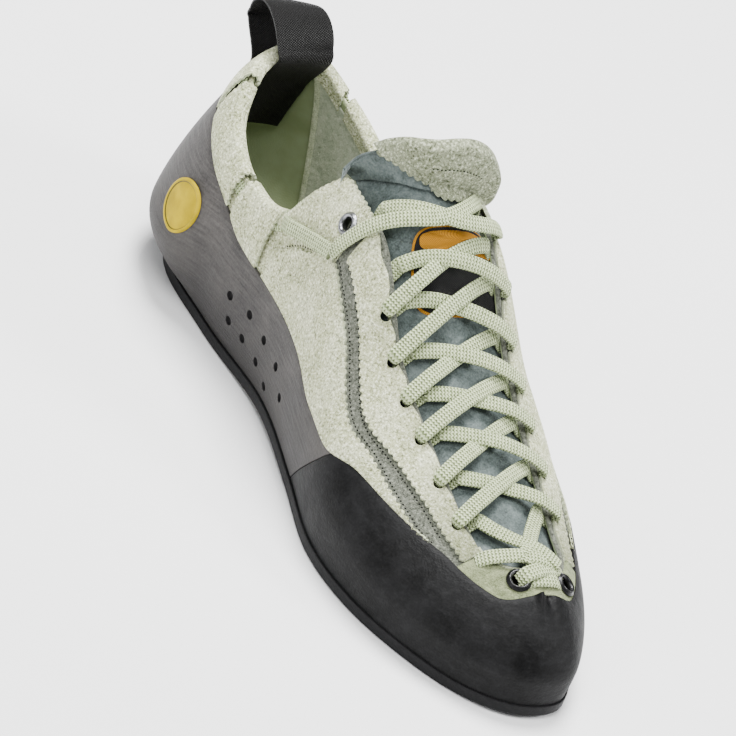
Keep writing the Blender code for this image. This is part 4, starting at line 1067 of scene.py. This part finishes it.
def make_sole():
    """Sole: bent to the arch from a flat cut-out, with its lower edge ground off."""
    build = bmesh.new()
    count = 480
    bmesh.ops.create_circle(build, cap_ends=True, segments=count, radius=1.0)
    build.verts.ensure_lookup_table()
    for k, vert in enumerate(build.verts):
        x, y = edge_point(STATIONS * k / count)
        vert.co = (x, y, 0.0)
    made = bmesh.ops.extrude_face_region(build, geom=build.faces[:])
    upper_verts = [v for v in made["geom"] if isinstance(v, bmesh.types.BMVert)]
    bmesh.ops.translate(build, verts=upper_verts, vec=(0, 0, SOLE_THICKNESS))
    bmesh.ops.recalc_face_normals(build, faces=build.faces)
    low = [e for e in build.edges if all(v.co.z < 1e-6 for v in e.verts)]
    high = [e for e in build.edges if all(v.co.z > SOLE_THICKNESS - 1e-6 for v in e.verts)]
    bmesh.ops.bevel(build, geom=low, offset=0.0010, offset_type="OFFSET", segments=3, profile=0.5,
                    affect="EDGES", material=-1)
    bmesh.ops.bevel(build, geom=high, offset=0.0004, offset_type="OFFSET", segments=2, profile=0.5,
                    affect="EDGES", material=-1)
    for k in range(1, 64):
        bmesh.ops.bisect_plane(build, geom=build.verts[:] + build.edges[:] + build.faces[:],
                               plane_co=(0, y_of(0) + k * LENGTH / 64, 0), plane_no=(0, 1, 0), dist=1e-6)
    layer = build.loops.layers.uv.new("UVMap")
    for face in build.faces:
        for loop in face.loops:
            x, y, z = loop.vert.co
            loop[layer].uv = (y * 1000, x * 1000 + z * 1000)
    for vert in build.verts:
        vert.co.z += float(sole_under(share_of(vert.co.y)))
    piece = piece_from("sole", build, [SOLE_RUBBER])
    piece.data.set_sharp_from_angle(angle=math.radians(35))
    own(piece, "sole_rubber", "outsole")


# tongue
TongueTop = namedtuple("TongueTop", "c tall thick drop")
# The tongue's upper part, across its width: how tall it stands, how thick it is at its rolled edge, and how
# far it hangs down at its side
TONGUE_TOP = (
    TongueTop(-1.0, 0.0032, 0.0012, 0.0062), TongueTop(-0.93, 0.0074, 0.0022, 0.0050),
    TongueTop(-0.8, 0.0100, 0.0028, 0.0034), TongueTop(-0.5, 0.0136, 0.0032, 0.0008),
    TongueTop(0.0, 0.0150, 0.0036, 0.0), TongueTop(0.5, 0.0146, 0.0030, 0.0),
    TongueTop(0.8, 0.0126, 0.0018, 0.0), TongueTop(1.0, 0.0105, 0.0008, 0.0))


def tongue_line(along, cs):
    """Places across the tongue on the last's skin, with their normals."""
    at = column(TONGUE, "at", along)
    back = {OUTER: column(TONGUE, "back_out", along), INNER: column(TONGUE, "back_in", along)}
    half = column(THROAT, "half", at) * BALL_WIDTH + TONGUE_LAP * column(TONGUE, "lap", along)
    middle = root_of(at)[0][0]
    line = []
    for c in cs:
        reach = back[OUTER if c < 0 else INNER] * LENGTH * abs(c) ** 2.2
        line.append(skin(middle + half * c, y_of(at) + reach))
    drop = np.array([column(TONGUE_TOP, "drop", c) for c in cs]) * along ** 8
    return np.array([p for p, _ in line]) - np.outer(drop, (0, 0, 1)), np.array([n for _, n in line])


def make_tongue():
    """Padded tongue: crowned along its middle, low under the throat's edges, standing up at the top."""
    cs = np.linspace(-1, 1, 61)
    rows, risers, hem, back_rows = 64, 16, 10, 14
    tall = np.array([column(TONGUE_TOP, "tall", c) for c in cs])
    thick = np.array([column(TONGUE_TOP, "thick", c) for c in cs])
    lines = []
    for k in range(rows + 1):
        along = k / rows
        p, n = tongue_line(along, cs)
        sink = 0.0013 * np.abs(cs) ** 5 * (1 - along ** 4)
        crease = 0.00035 * math.sin(along * 37) * (1 - cs ** 2)
        lines.append(p + n * (TONGUE_OUT + 0.0005 * (1 - cs ** 2) + crease - sink)[:, None])
    base = lines[-1]
    for k in range(1, risers + 1):
        share = k / risers
        wave = 0.0008 * np.sin(cs * 7.0 + share * 2.5) * share
        lines.append(base + np.stack([FLAP_SPREAD * cs * share, tall * share * (0.10 - 0.12 * cs ** 2) + wave,
                                      tall * share], -1))
    top = lines[-1]
    for k in range(1, hem + 1):
        turn = math.pi * k / hem
        lines.append(top + np.stack([0 * cs, thick / 2 * (1 - math.cos(turn)),
                                     thick * 0.45 * math.sin(turn)], -1))
    behind = lines[-1]
    for k in range(1, back_rows + 1):
        share = k / back_rows
        under = base + np.array([0.0, 0.0, 0.0006])
        bulge = np.stack([0 * cs, thick * 0.6 * math.sin(math.pi * share), 0 * cs], -1)
        lines.append(behind * (1 - share) + under * share + bulge)
    spots = np.array(lines)
    uv = np.stack([np.broadcast_to(cs * 20, spots.shape[:2]), runs(spots)], -1)
    made = thicken(grid("tongue_padding", spots, uv, [MICROFIBRE]), 0.0012)
    own(made, "tongue_fabric", "tongue")


FlapEdge = namedtuple("FlapEdge", "c low high")
# Suede flap on the tongue's top: its pinked lower edge and its upper edge
FLAP = (
    FlapEdge(-0.84, 1.52, 1.66), FlapEdge(-0.72, 1.34, 1.76), FlapEdge(-0.50, 1.10, 1.81),
    FlapEdge(-0.10, 0.985, 1.86), FlapEdge(0.15, 0.962, 1.89), FlapEdge(0.50, 0.962, 1.92),
    FlapEdge(0.95, 0.980, 1.90), FlapEdge(1.18, 1.02, 1.80), FlapEdge(1.30, 1.16, 1.52))


def make_flap():
    """Suede flap over the tongue's top: pinked, domed, its top rolled back, with one stitched row."""
    cs = np.linspace(FLAP[0].c, FLAP[-1].c, 150)
    lows = np.array([column(FLAP, "low", c) for c in cs])
    highs = np.array([column(FLAP, "high", c) for c in cs])
    alongs = np.linspace(0.90, 1.0, 6)
    lines = [tongue_line(a, cs) for a in alongs]
    top_p, top_n = lines[-1]
    shares = np.linspace(0, 1, 45)
    tall = FLAP_HEIGHT * (1 - 0.15 * np.clip(np.abs(cs), 0, 1) ** 4)

    def place(i, s):
        if s <= 1.0:
            k = (s - 0.90) / 0.10 * 5
            low = int(np.clip(math.floor(k), 0, 4))
            part = k - low
            p = lines[low][0][i] * (1 - part) + lines[low + 1][0][i] * part
            n = lines[low][1][i] * (1 - part) + lines[low + 1][1][i] * part
            return p + n * (TONGUE_OUT + 0.0030)
        k = s - 1.0
        c = cs[i]
        rise = np.array([FLAP_SPREAD * c * k, tall[i] * k * (0.12 - 0.15 * c * c), tall[i] * k])
        return top_p[i] + top_n[i] * (TONGUE_OUT + 0.0030) + rise

    low_line = np.array([place(i, low) for i, low in enumerate(lows)])
    bite = teeth(runs(low_line[:, None])[:, 0], FLAP_TOOTH, FLAP_TOOTH_DEPTH)
    bite /= np.where(lows > 1, FLAP_HEIGHT, TONGUE_LENGTH)
    spots = np.zeros((len(shares), len(cs), 3))
    for i in range(len(cs)):
        ss = lows[i] + (highs[i] - lows[i]) * shares - bite[i] * np.clip(1 - shares * 6, 0, 1)
        for j, s in enumerate(ss):
            spots[j, i] = place(i, s)
        swell = 0.0010 * np.sin(np.pi * shares) ** 0.7
        spots[:, i] += np.array([0, -1, 0.25]) * swell[:, None]
        spots[:, i, 1] += 0.0030 * np.clip((shares - 0.86) / 0.14, 0, 1) ** 2
    uv = np.stack([np.broadcast_to(cs * 20, spots.shape[:2]), runs(spots)], -1)
    made = grid("tongue_flap", spots, uv, [SUEDE_FLAP_PAINTED_SHADE, SUEDE_EDGE_PAINTED_HIGHLIGHT])
    thicken(made, 0.0013, 1, even=False)
    own(made, "sage_suede")
    # the stitched row's needle holes, dark dots of painted shadow
    build = bmesh.new()
    for c in np.linspace(-0.22, 0.80, 15):
        middle = int(np.argmin(np.abs(cs - c)))
        spot = place(middle, 1.38) + np.array([0, -1, 0.25]) * 0.00098
        size = Matrix.Diagonal((0.00048, 0.00024, 0.00030, 1))
        bmesh.ops.create_icosphere(build, subdivisions=1, radius=1.0,
                                   matrix=Matrix.Translation(Vector(spot)) @ size)
    own(piece_from("flap_needle_holes", build, [SHADOW_BLACK]), "sage_suede")


def blend(table, row, line):
    """Value between a table's rows and columns."""
    i, j = int(min(row, table.shape[0] - 2)), int(min(line, table.shape[1] - 2))
    down, over_by = row - i, line - j
    return ((table[i, j] * (1 - over_by) + table[i, j + 1] * over_by) * (1 - down)
            + (table[i + 1, j] * (1 - over_by) + table[i + 1, j + 1] * over_by) * down)


LabelSheet = namedtuple("LabelSheet", "name left right low high out thickness material square")
# Label's sheets: where each lies across and along the tongue, and how square its corners are
LABEL_SHEETS = (
    LabelSheet("label_edge", -0.56, 0.98, 0.705, 0.892, 0.0011, 0.0005, LABEL_EDGE, 4.0),
    LabelSheet("label_field", -0.53, 0.95, 0.709, 0.888, 0.00125, 0.0006, LABEL, 4.0),
    LabelSheet("label_band", -0.44, 0.86, 0.832, 0.880, 0.0014, 0.0004, LABEL_EDGE, 3.0))


def label_sheet(sheet):
    """Thin sheet with rounded corners that follows the tongue."""
    count = 40
    line = np.linspace(-1, 1, count)
    xs, ys = np.meshgrid(line, line)
    size = (np.abs(xs) ** sheet.square + np.abs(ys) ** sheet.square) ** (1 / sheet.square)
    scale = np.where(size > 1e-9, np.maximum(np.abs(xs), np.abs(ys)) / np.maximum(size, 1e-9), 1.0)
    table = [tongue_line(along, np.linspace(sheet.left, sheet.right, 25))
             for along in np.linspace(sheet.low, sheet.high, 14)]
    points, normals = np.array([p for p, _ in table]), np.array([n for _, n in table])
    spots = np.zeros((count, count, 3))
    for i in range(count):
        for j in range(count):
            row, column_at = (1 + ys[i, j] * scale[i, j]) / 2 * 13, (1 + xs[i, j] * scale[i, j]) / 2 * 24
            normal = blend(normals, row, column_at)
            spots[i, j] = (blend(points, row, column_at)
                           + normal / np.linalg.norm(normal) * (TONGUE_OUT + sheet.out))
    uv = np.stack([runs(spots.transpose(1, 0, 2)).transpose(1, 0), runs(spots)], -1)
    return thicken(grid(sheet.name, spots, uv, [sheet.material]), sheet.thickness)


def make_label():
    """Plain woven label with an amber edge line and an amber band, its corners rounded."""
    for sheet in LABEL_SHEETS:
        own(label_sheet(sheet), "label_fabric", *(("tongue_label",) if sheet.name == "label_edge" else ()))


# laces
# Heights of each kind of lace bar over the last, evenly from its hole to the far edge
BAR_HIGH = (1.0, 1.1, 0.75, 0.20, -0.40, -0.80, -0.95)
BAR_LOW = (1.0, 1.0, 0.10, -0.90, -1.10, -1.10, -1.0)
BAR_TAB = (1.0, 1.1, 1.1, 1.0, 0.6, 0.3, 0.1, -0.1, -0.35)
BAR_OVER = (1.0, 1.1, 0.8, 0.5, 0.1, -0.2, -0.5)
BAR_TOE = (-0.6, 0.5, 0.8, 1.0, 1.0, 0.7, 0.2)
BAR_FAR = (-0.6, 1.0, 0.9, 0.5, 0.2, -0.1, -0.6)
BAR_RINGS = (-0.9, -0.5, 0.1, 0.2, 0.1, -0.5, -0.9)
EDGE_MARGIN = 0.0042


def bar_outs(shape):
    """Heights of a lace bar over the last, from shares of a lace's rest height and thickness."""
    return np.array([LACE_REST * k if k > 0 else LACE_THICKNESS * k for k in shape])


def hole_fold(spot, normal, away):
    """Rows of the lace's end, from inside its hole up to the fold: place, normal, width and thickness."""
    rows = []
    for turn in np.linspace(math.pi / 2, 0, 7)[1:]:
        rows.append((spot + away * LACE_FOLD * math.cos(turn) + normal * LACE_FOLD * (math.sin(turn) - 1),
                     normal * math.sin(turn) + away * math.cos(turn),
                     LACE_WIDTH * (0.78 + 0.22 * math.sin(turn)), LACE_THICKNESS))
    last, last_normal = rows[-1][:2]
    for k in (1, 2):
        rows.append((last - normal * 0.0011 * k, last_normal, LACE_WIDTH * 0.72, LACE_THICKNESS))
    return rows[::-1]


def lace_bar(start, end, outs, dip=0.0, hole=True, under=None):
    """Lace from a hole, over the throat, and under the other edge.

    start, end: plan points of the solid's bar; dip: how far its middle sags toward the toe; under: plan
    point below the far edge.
    """
    shape = np.linspace(0, 1, len(outs))
    rows = []
    if hole:
        start = start + (end - start) / np.linalg.norm(end - start) * LACE_FOLD
    for t in np.linspace(0, 1, 46):
        x, y = start + (end - start) * t - np.array([0.0, 4 * dip * t * (1 - t)])
        spot, normal = skin(x, y)
        rows.append((spot + normal * float(smooth(t, shape, outs)), normal, LACE_WIDTH, LACE_THICKNESS))
    if hole:
        away = rows[0][0] - rows[3][0]
        rows = hole_fold(rows[0][0], rows[0][1], away / np.linalg.norm(away)) + rows
    if under is not None:
        last, last_normal = rows[-1][:2]
        spot, normal = skin(*under)
        goal = spot + normal * (UPPER_IN - LACE_THICKNESS * 0.42)
        for t in np.linspace(0, 1, 12)[1:]:
            ease = t * t * (3 - 2 * t)
            rows.append((last + (goal - last) * t + normal * (goal - last) @ normal * (ease - t),
                         last_normal * (1 - t) + normal * t, LACE_WIDTH, LACE_THICKNESS * (1 - 0.35 * t)))
    return tube("bar", *zip(*rows), [LACE], sides=22, square=2.7)


def make_laces():
    """Crossings from the tabs to the toe, each with its two bars, and the toe row with its rings."""
    ends, unders = {}, {}
    for side, toe_at in ((OUTER, TOE_EYELET_AT[0]), (INNER, TOE_EYELET_AT[1])):
        shift = INNER_SHIFT if side == INNER else 0.0
        holes = [hole_place(at + shift, side, HOLE_INSET) for at in (TOP_ROW[0], *HOLES_AT)]
        edges = [hole_place(at + shift, side, -EDGE_MARGIN) for at in (TOP_ROW[1], *HOLES_AT)]
        below = [hole_place(at + shift, side, 0.0030) for at in (TOP_ROW[1], *HOLES_AT)]
        toe_place, toe_arc = hole_place(toe_at, side, TOE_EYELET_INSET)
        starts = [plan(*hole) for hole in holes]
        starts.append(plan(toe_place, toe_arc + EYELET_OUTER / 2 + LACE_THICKNESS))
        stops = [plan(*hole_place(TAB_END_AT, side, -EDGE_MARGIN))] + [plan(*edge) for edge in edges]
        ends[side] = list(zip(starts, stops))
        unders[side] = [plan(*hole_place(TAB_END_AT, side, 0.0030))] + [plan(*edge) for edge in below]
    ends[OUTER][0] = (plan(*hole_place(TAB_START_AT, OUTER, TAB_LACE_INSET[1])), ends[OUTER][0][1])
    for number in range(len(ends[OUTER])):
        name = f"lace_crossing_{number}"
        tab_row, toe_row = number == 0, number == len(ends[OUTER]) - 1
        outer_over = number % 2 == 0 and not tab_row
        first_shape = BAR_TAB if tab_row else BAR_HIGH if outer_over else BAR_LOW
        second_shape = BAR_OVER if tab_row else BAR_LOW if outer_over else BAR_HIGH
        first_dip, second_dip = TAB_DIPS if tab_row else (0.0, 0.0)
        bars = [lace_bar(ends[OUTER][number][0], ends[INNER][number][1], bar_outs(first_shape), first_dip,
                         hole=not (tab_row or toe_row), under=unders[INNER][number]),
                lace_bar(ends[INNER][number][0], ends[OUTER][number][1], bar_outs(second_shape), second_dip,
                         hole=not toe_row, under=unders[OUTER][number])]
        if toe_row:
            corner = plan(*hole_place(TOE_BAR_AT, OUTER, TOE_BAR_INSET))
            rings = [plan(*hole_place(at, side, TOE_EYELET_INSET))
                     for at, side in zip(TOE_EYELET_AT, (OUTER, INNER))]
            far = plan(*hole_place(FAR_BAR_AT, INNER, FAR_BAR_INSET))
            for start, end, shape, dip in (
                    (corner, ends[INNER][-1][0], BAR_TOE, 0.0), (rings[0], far, BAR_FAR, 0.0),
                    (rings[0], rings[1], BAR_RINGS, 0.001)):
                bars.append(lace_bar(start, end, bar_outs(shape), dip, hole=False))
        own(join(f"{name}_braid", bars), "lace_polyester", name)


def make_side_lace(word, side):
    """Lace from the sleeve to the top eyelet, lying on the tab."""
    points, normals = [], []
    ends = [near(station_at(at, side)) for at in SIDE_LACE]
    arcs = [place.top - inset for place, inset in zip(ends, TAB_LACE_INSET)]
    for t in np.linspace(0, 1, 40):
        place = near(ends[0].u + (ends[1].u - ends[0].u) * t)
        arc = arcs[0] + (arcs[1] - arcs[0]) * t
        points.append(place.point(arc, STAY_OUT + LACE_REST - 0.0022 * max(0.0, 1 - t / 0.18)))
        normals.append(facing(place.u, arc))
    made = tube(f"side_lace_{word}", points, normals, LACE_WIDTH, LACE_THICKNESS, [LACE], sides=22, square=2.7)
    own(made, "lace_polyester", f"lace_side_{word}")


def make_sleeve_lace():
    """Lace inside the collar's sleeve, seen only where the cuff is open."""
    start, end = station_at(0.690, INNER), station_at(0.690, OUTER) + STATIONS
    us = np.linspace(start, end, 260)
    points, normals = [], []
    for u in us:
        place = near(u)
        arc = place.top - 0.0050
        points.append(place.point(arc, -0.0007))
        normals.append(place.point(arc, 0.001) - place.point(arc))
    made = tube("sleeve_lace", points, normals, 0.0048, 0.0012, [LACE], sides=16)
    own(made, "lace_polyester")


# loop, eyelets, badge and small marks
def make_loop():
    """Webbing loop, sewn inside and outside the heel, twisted and bowed as it stands."""
    place = station(0.0)
    outer = STAY_OUT + 0.0012 + CLEARANCE + LOOP_THICKNESS / 2
    inner = UPPER_IN - CLEARANCE - LOOP_THICKNESS / 2 - LOOP_STAND
    rim = place.point(place.top)
    middle = rim[1:] + np.array([UPPER_IN / 2 + LOOP_LEAN, LOOP_RISE - LOOP_ARCH])
    arcs = [place.top - LOOP_LAP * k for k in (1.0, 0.75, 0.5)]
    sewn = [place.top - LOOP_LAP * k for k in (0.5, 0.75, 1.0, 1.3, 1.6)]
    route = [place.point(arc, outer)[1:] for arc in arcs]
    for k in range(9):
        turn = math.pi * k / 8
        route.append(middle + np.array([LOOP_SPREAD * math.cos(turn), LOOP_ARCH * math.sin(turn)]))
    route += [place.point(arc, inner)[1:] for arc in sewn]
    route = np.array(route)
    fine = np.linspace(0, len(route) - 1, 160)
    t = fine - np.clip(np.floor(fine), 0, len(route) - 2)
    base = np.clip(np.floor(fine), 0, len(route) - 2).astype(int)
    ring = np.vstack([2 * route[0] - route[1], route, 2 * route[-1] - route[-2]])
    a, b, c, d = (ring[base + k] for k in range(4))
    t = t[:, None]
    yz = catmull(a, b, c, d, t)
    points = np.column_stack([np.full(len(yz), rim[0]), yz])
    share = np.clip((points[:, 2] - rim[2]) / LOOP_RISE, 0, 1)
    points[:, 0] -= LOOP_SWAY * share
    turns = LOOP_TWIST * share * share * (3 - 2 * share)
    across = np.column_stack([np.cos(turns), np.sin(turns), np.zeros(len(turns))])
    normals = np.cross(np.gradient(points, axis=0), across)
    bows = np.linspace(-LOOP_BOW, LOOP_BOW, len(points))
    made = tube("pull_loop_webbing", points, normals, LOOP_WIDTH, LOOP_THICKNESS, [WEBBING], sides=40,
                bows=bows, square=7.0)
    own(made, "loop_webbing", "pull_loop")


def make_eyelet(name, at, side, inset, base, material):
    """Pressed ring with a rounded flange and a barrel that goes down through the leather."""
    place, arc = hole_place(at, side, inset)
    build = bmesh.new()
    outer, inner = EYELET_OUTER / 2, EYELET_INNER / 2
    profile = [(inner - 0.0001, -0.0022), (inner, 0.0002), (inner + 0.0004, 0.00085), (inner + 0.0010, 0.00112),
               (outer - 0.0008, 0.0008), (outer - 0.0002, 0.00035), (outer, 0.0)]
    verts = [build.verts.new((r, 0, z)) for r, z in profile]
    edges = [build.edges.new(pair) for pair in zip(verts[:-1], verts[1:])]
    bmesh.ops.spin(build, geom=verts + edges, cent=(0, 0, 0), axis=(0, 0, 1), angle=2 * math.pi, steps=40,
                   use_merge=True)
    bmesh.ops.recalc_face_normals(build, faces=build.faces)
    way = facing(place.u, arc)
    build.transform(frame_at(place.point(arc) + way * (base + CLEARANCE), way))
    made = piece_from(name + "_ring", build, [material])
    wall = made.modifiers.new("wall", "SOLIDIFY")
    wall.thickness = 0.0003
    wall.offset = -1.0
    own(made, "eyelet_enamel", name)


def make_badge():
    """Plain moulded badge: an oval plate with a thin raised rim."""
    place = near(station_at(BADGE_AT, OUTER))
    u0, arc0 = place.u, place.at_height(BADGE_UP * HEEL_HEIGHT)
    profile = [(0.0, 0.85), (0.45, 0.85), (0.80, 0.80), (0.845, 0.70), (0.875, 0.95), (0.93, 1.05),
               (0.985, 0.90), (1.0, 0.25)]
    turn = np.linspace(0, 2 * np.pi, 73)
    spots = []
    for share, out in profile:
        ring = []
        for a in turn:
            u = u0 + share * BADGE_WIDTH / 2 * math.cos(a) / PITCH
            ring.append(near(u).point(arc0 + share * BADGE_HEIGHT / 2 * math.sin(a), out / 1000))
        spots.append(ring)
    spots = np.array(spots)
    made = grid("heel_badge_plate", spots, np.stack([runs(spots), runs(spots)], -1), [BADGE, BADGE_RIM],
                closed=True)
    for face in made.data.polygons:
        face.material_index = 1 if face.index // 72 == 3 else 0
    build = bmesh.new()
    build.from_mesh(made.data)
    bmesh.ops.recalc_face_normals(build, faces=build.faces)
    way = Vector(facing(u0, arc0))
    top = max(build.faces, key=lambda f: f.calc_center_median().dot(way))
    if top.normal.dot(way) < 0:
        bmesh.ops.reverse_faces(build, faces=build.faces)
    build.to_mesh(made.data)
    build.free()
    own(made, "badge_rubber", "heel_badge")


def make_needle_holes():
    """Two rows of needle holes along each sewn band, drawn a little larger than life as dark dots of
    painted shadow.
    """
    build = bmesh.new()
    for side in (OUTER, INNER):
        for name, nudge in (("quarter", 0.0009), ("stay", -0.0010)):
            start, end = mirrored(side, 0.20, 0.685)
            us = np.linspace(start, end, 900)
            line = np.array([near(u).point(near(u).between(SEAMS, name) + nudge, UPPER_OUT) for u in us])
            run = runs(line[:, None])[:, 0]
            for at in np.arange(0.7, run[-1], NEEDLE_PITCH * 1000):
                u = float(np.interp(at, run, us))
                place = near(u)
                arc = place.between(SEAMS, name) + nudge
                if side == OUTER and name == "stay" and place.share > STAY_END:
                    continue
                size = Matrix.Diagonal((0.00042, 0.00033, 0.00012, 1))
                bmesh.ops.create_icosphere(build, subdivisions=1, radius=1.0,
                                           matrix=frame_at(place.point(arc, UPPER_OUT), facing(u, arc)) @ size)
    own(piece_from("needle_holes", build, [SHADOW_BLACK]), "sage_suede")


def hole_pegs(holes, inset, diameter):
    """Cutters for holes at these shares of the length, given with their side."""
    pegs = []
    for at, side in holes:
        place, arc = hole_place(at, side, inset)
        pegs.append(peg(place.point(arc, UPPER_OUT), facing(place.u, arc), diameter, 0.009, SUEDE_EDGE_PAINTED_HIGHLIGHT))
    return pegs


upper = own(make_upper(), "sage_suede", "upper")
stays = {side: make_side(side, word) for side, word in ((OUTER, "lateral"), (INNER, "medial"))}
toe_vamp = make_toe_vamp()
for side, toe_at, shift, ats in ((OUTER, TOE_EYELET_AT[0], 0.0, HOLES_AT),
                                 (INNER, TOE_EYELET_AT[1], INNER_SHIFT, (TOP_ROW[0], *HOLES_AT))):
    stay, tab = stays[side]
    through = []
    for piece, holes, inset, diameter in (
            (stay, [(at + shift, side) for at in ats], HOLE_INSET, HOLE_DIAMETER),
            (tab, [(TOP_EYELET_AT, side)], TOP_EYELET_INSET, EYELET_INNER),
            (toe_vamp, [(toe_at, side)], TOE_EYELET_INSET, EYELET_INNER)):
        cut(piece, hole_pegs(holes, inset, diameter))
        through += hole_pegs(holes, inset, diameter)
    cut(upper, through)
own(toe_vamp, "sage_suede")
make_cuffs()
make_rands()
make_medial_lining()
make_heel_shadow_strip()
make_piping()
make_sole()
make_tongue()
make_flap()
make_label()
make_laces()
for side, word in ((OUTER, "lateral"), (INNER, "medial")):
    make_side_lace(word, side)
    make_eyelet(f"eyelet_top_{word}", TOP_EYELET_AT, side, TOP_EYELET_INSET, STAY_OUT, RING_STEEL)
    make_eyelet(f"eyelet_toe_{word}", TOE_EYELET_AT[0 if side == OUTER else 1], side, TOE_EYELET_INSET,
                UPPER_OUT + 0.0010, RING_BLACK)
make_sleeve_lace()
make_loop()
make_badge()
make_needle_holes()
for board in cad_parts["insole"].material_slots:
    board.material = BOARD


# floor, light and camera
AZIMUTH, ELEVATION, ROLL = (math.radians(a) for a in (-38.93, 33.20, 23.45))
DISTANCE, FOCAL = 2.45, 367.7
back = np.array([math.sin(AZIMUTH) * math.cos(ELEVATION), -math.cos(AZIMUTH) * math.cos(ELEVATION),
                 math.sin(ELEVATION)])
level = np.array([math.cos(AZIMUTH), math.sin(AZIMUTH), 0.0])
rise = np.cross(back, level)
right = math.cos(ROLL) * level + math.sin(ROLL) * rise
up = -math.sin(ROLL) * level + math.cos(ROLL) * rise
target = np.array([0.0, 0.048, 0.035]) - right * 0.00947 + up * 0.00643

build = bmesh.new()
bmesh.ops.create_grid(build, x_segments=2, y_segments=2, size=4.0)
floor = piece_from("floor", build, [smooth_coat("floor_pale_paper", "FBFBFB", "F8F8F8", 0.9, size=200.0)])


def look(spot, at):
    """Turn that points a lamp from a spot at a place."""
    return (Vector(at) - Vector(spot)).to_track_quat("-Z", "Y").to_euler()


def lamp(name, way, distance, size, power):
    """Round soft lamp, this far from the shoe."""
    light = bpy.data.lights.new(name, "AREA")
    light.shape = "DISK"
    light.size = size
    light.energy = power
    made = bpy.data.objects.new(name, light)
    bpy.context.collection.objects.link(made)
    spot = target + way / np.linalg.norm(way) * distance
    made.location = spot
    made.rotation_euler = look(spot, target)
    return made


lamp("key_softbox", up * 1.0 + right * 0.30 + back * 0.25, 1.3, 0.6, 45)
lamp("front_fill", back * 1.0 - right * 0.5 + up * 0.2, 1.8, 1.0, 9)
lamp("right_rim", right * 1.0 + up * 0.15 + back * 0.35, 1.4, 0.4, 12)
lamp("collar_fill", np.array([-0.35, -0.25, 1.0]), 0.9, 0.5, 7)

world = bpy.data.worlds.new("studio")
world.use_nodes = True
world.node_tree.nodes["Background"].inputs["Color"].default_value = linear("F4F6F8")
world.node_tree.nodes["Background"].inputs["Strength"].default_value = 0.52
bpy.context.scene.world = world

lens = bpy.data.cameras.new("photo_view")
lens.lens = FOCAL
lens.sensor_width = 36.0
lens.clip_end = 30.0
camera = bpy.data.objects.new("photo_view", lens)
bpy.context.collection.objects.link(camera)
camera.matrix_world = Matrix((
    (right[0], up[0], back[0], 0), (right[1], up[1], back[1], 0), (right[2], up[2], back[2], 0), (0, 0, 0, 1)))
camera.location = target + back * DISTANCE
bpy.context.scene.camera = camera
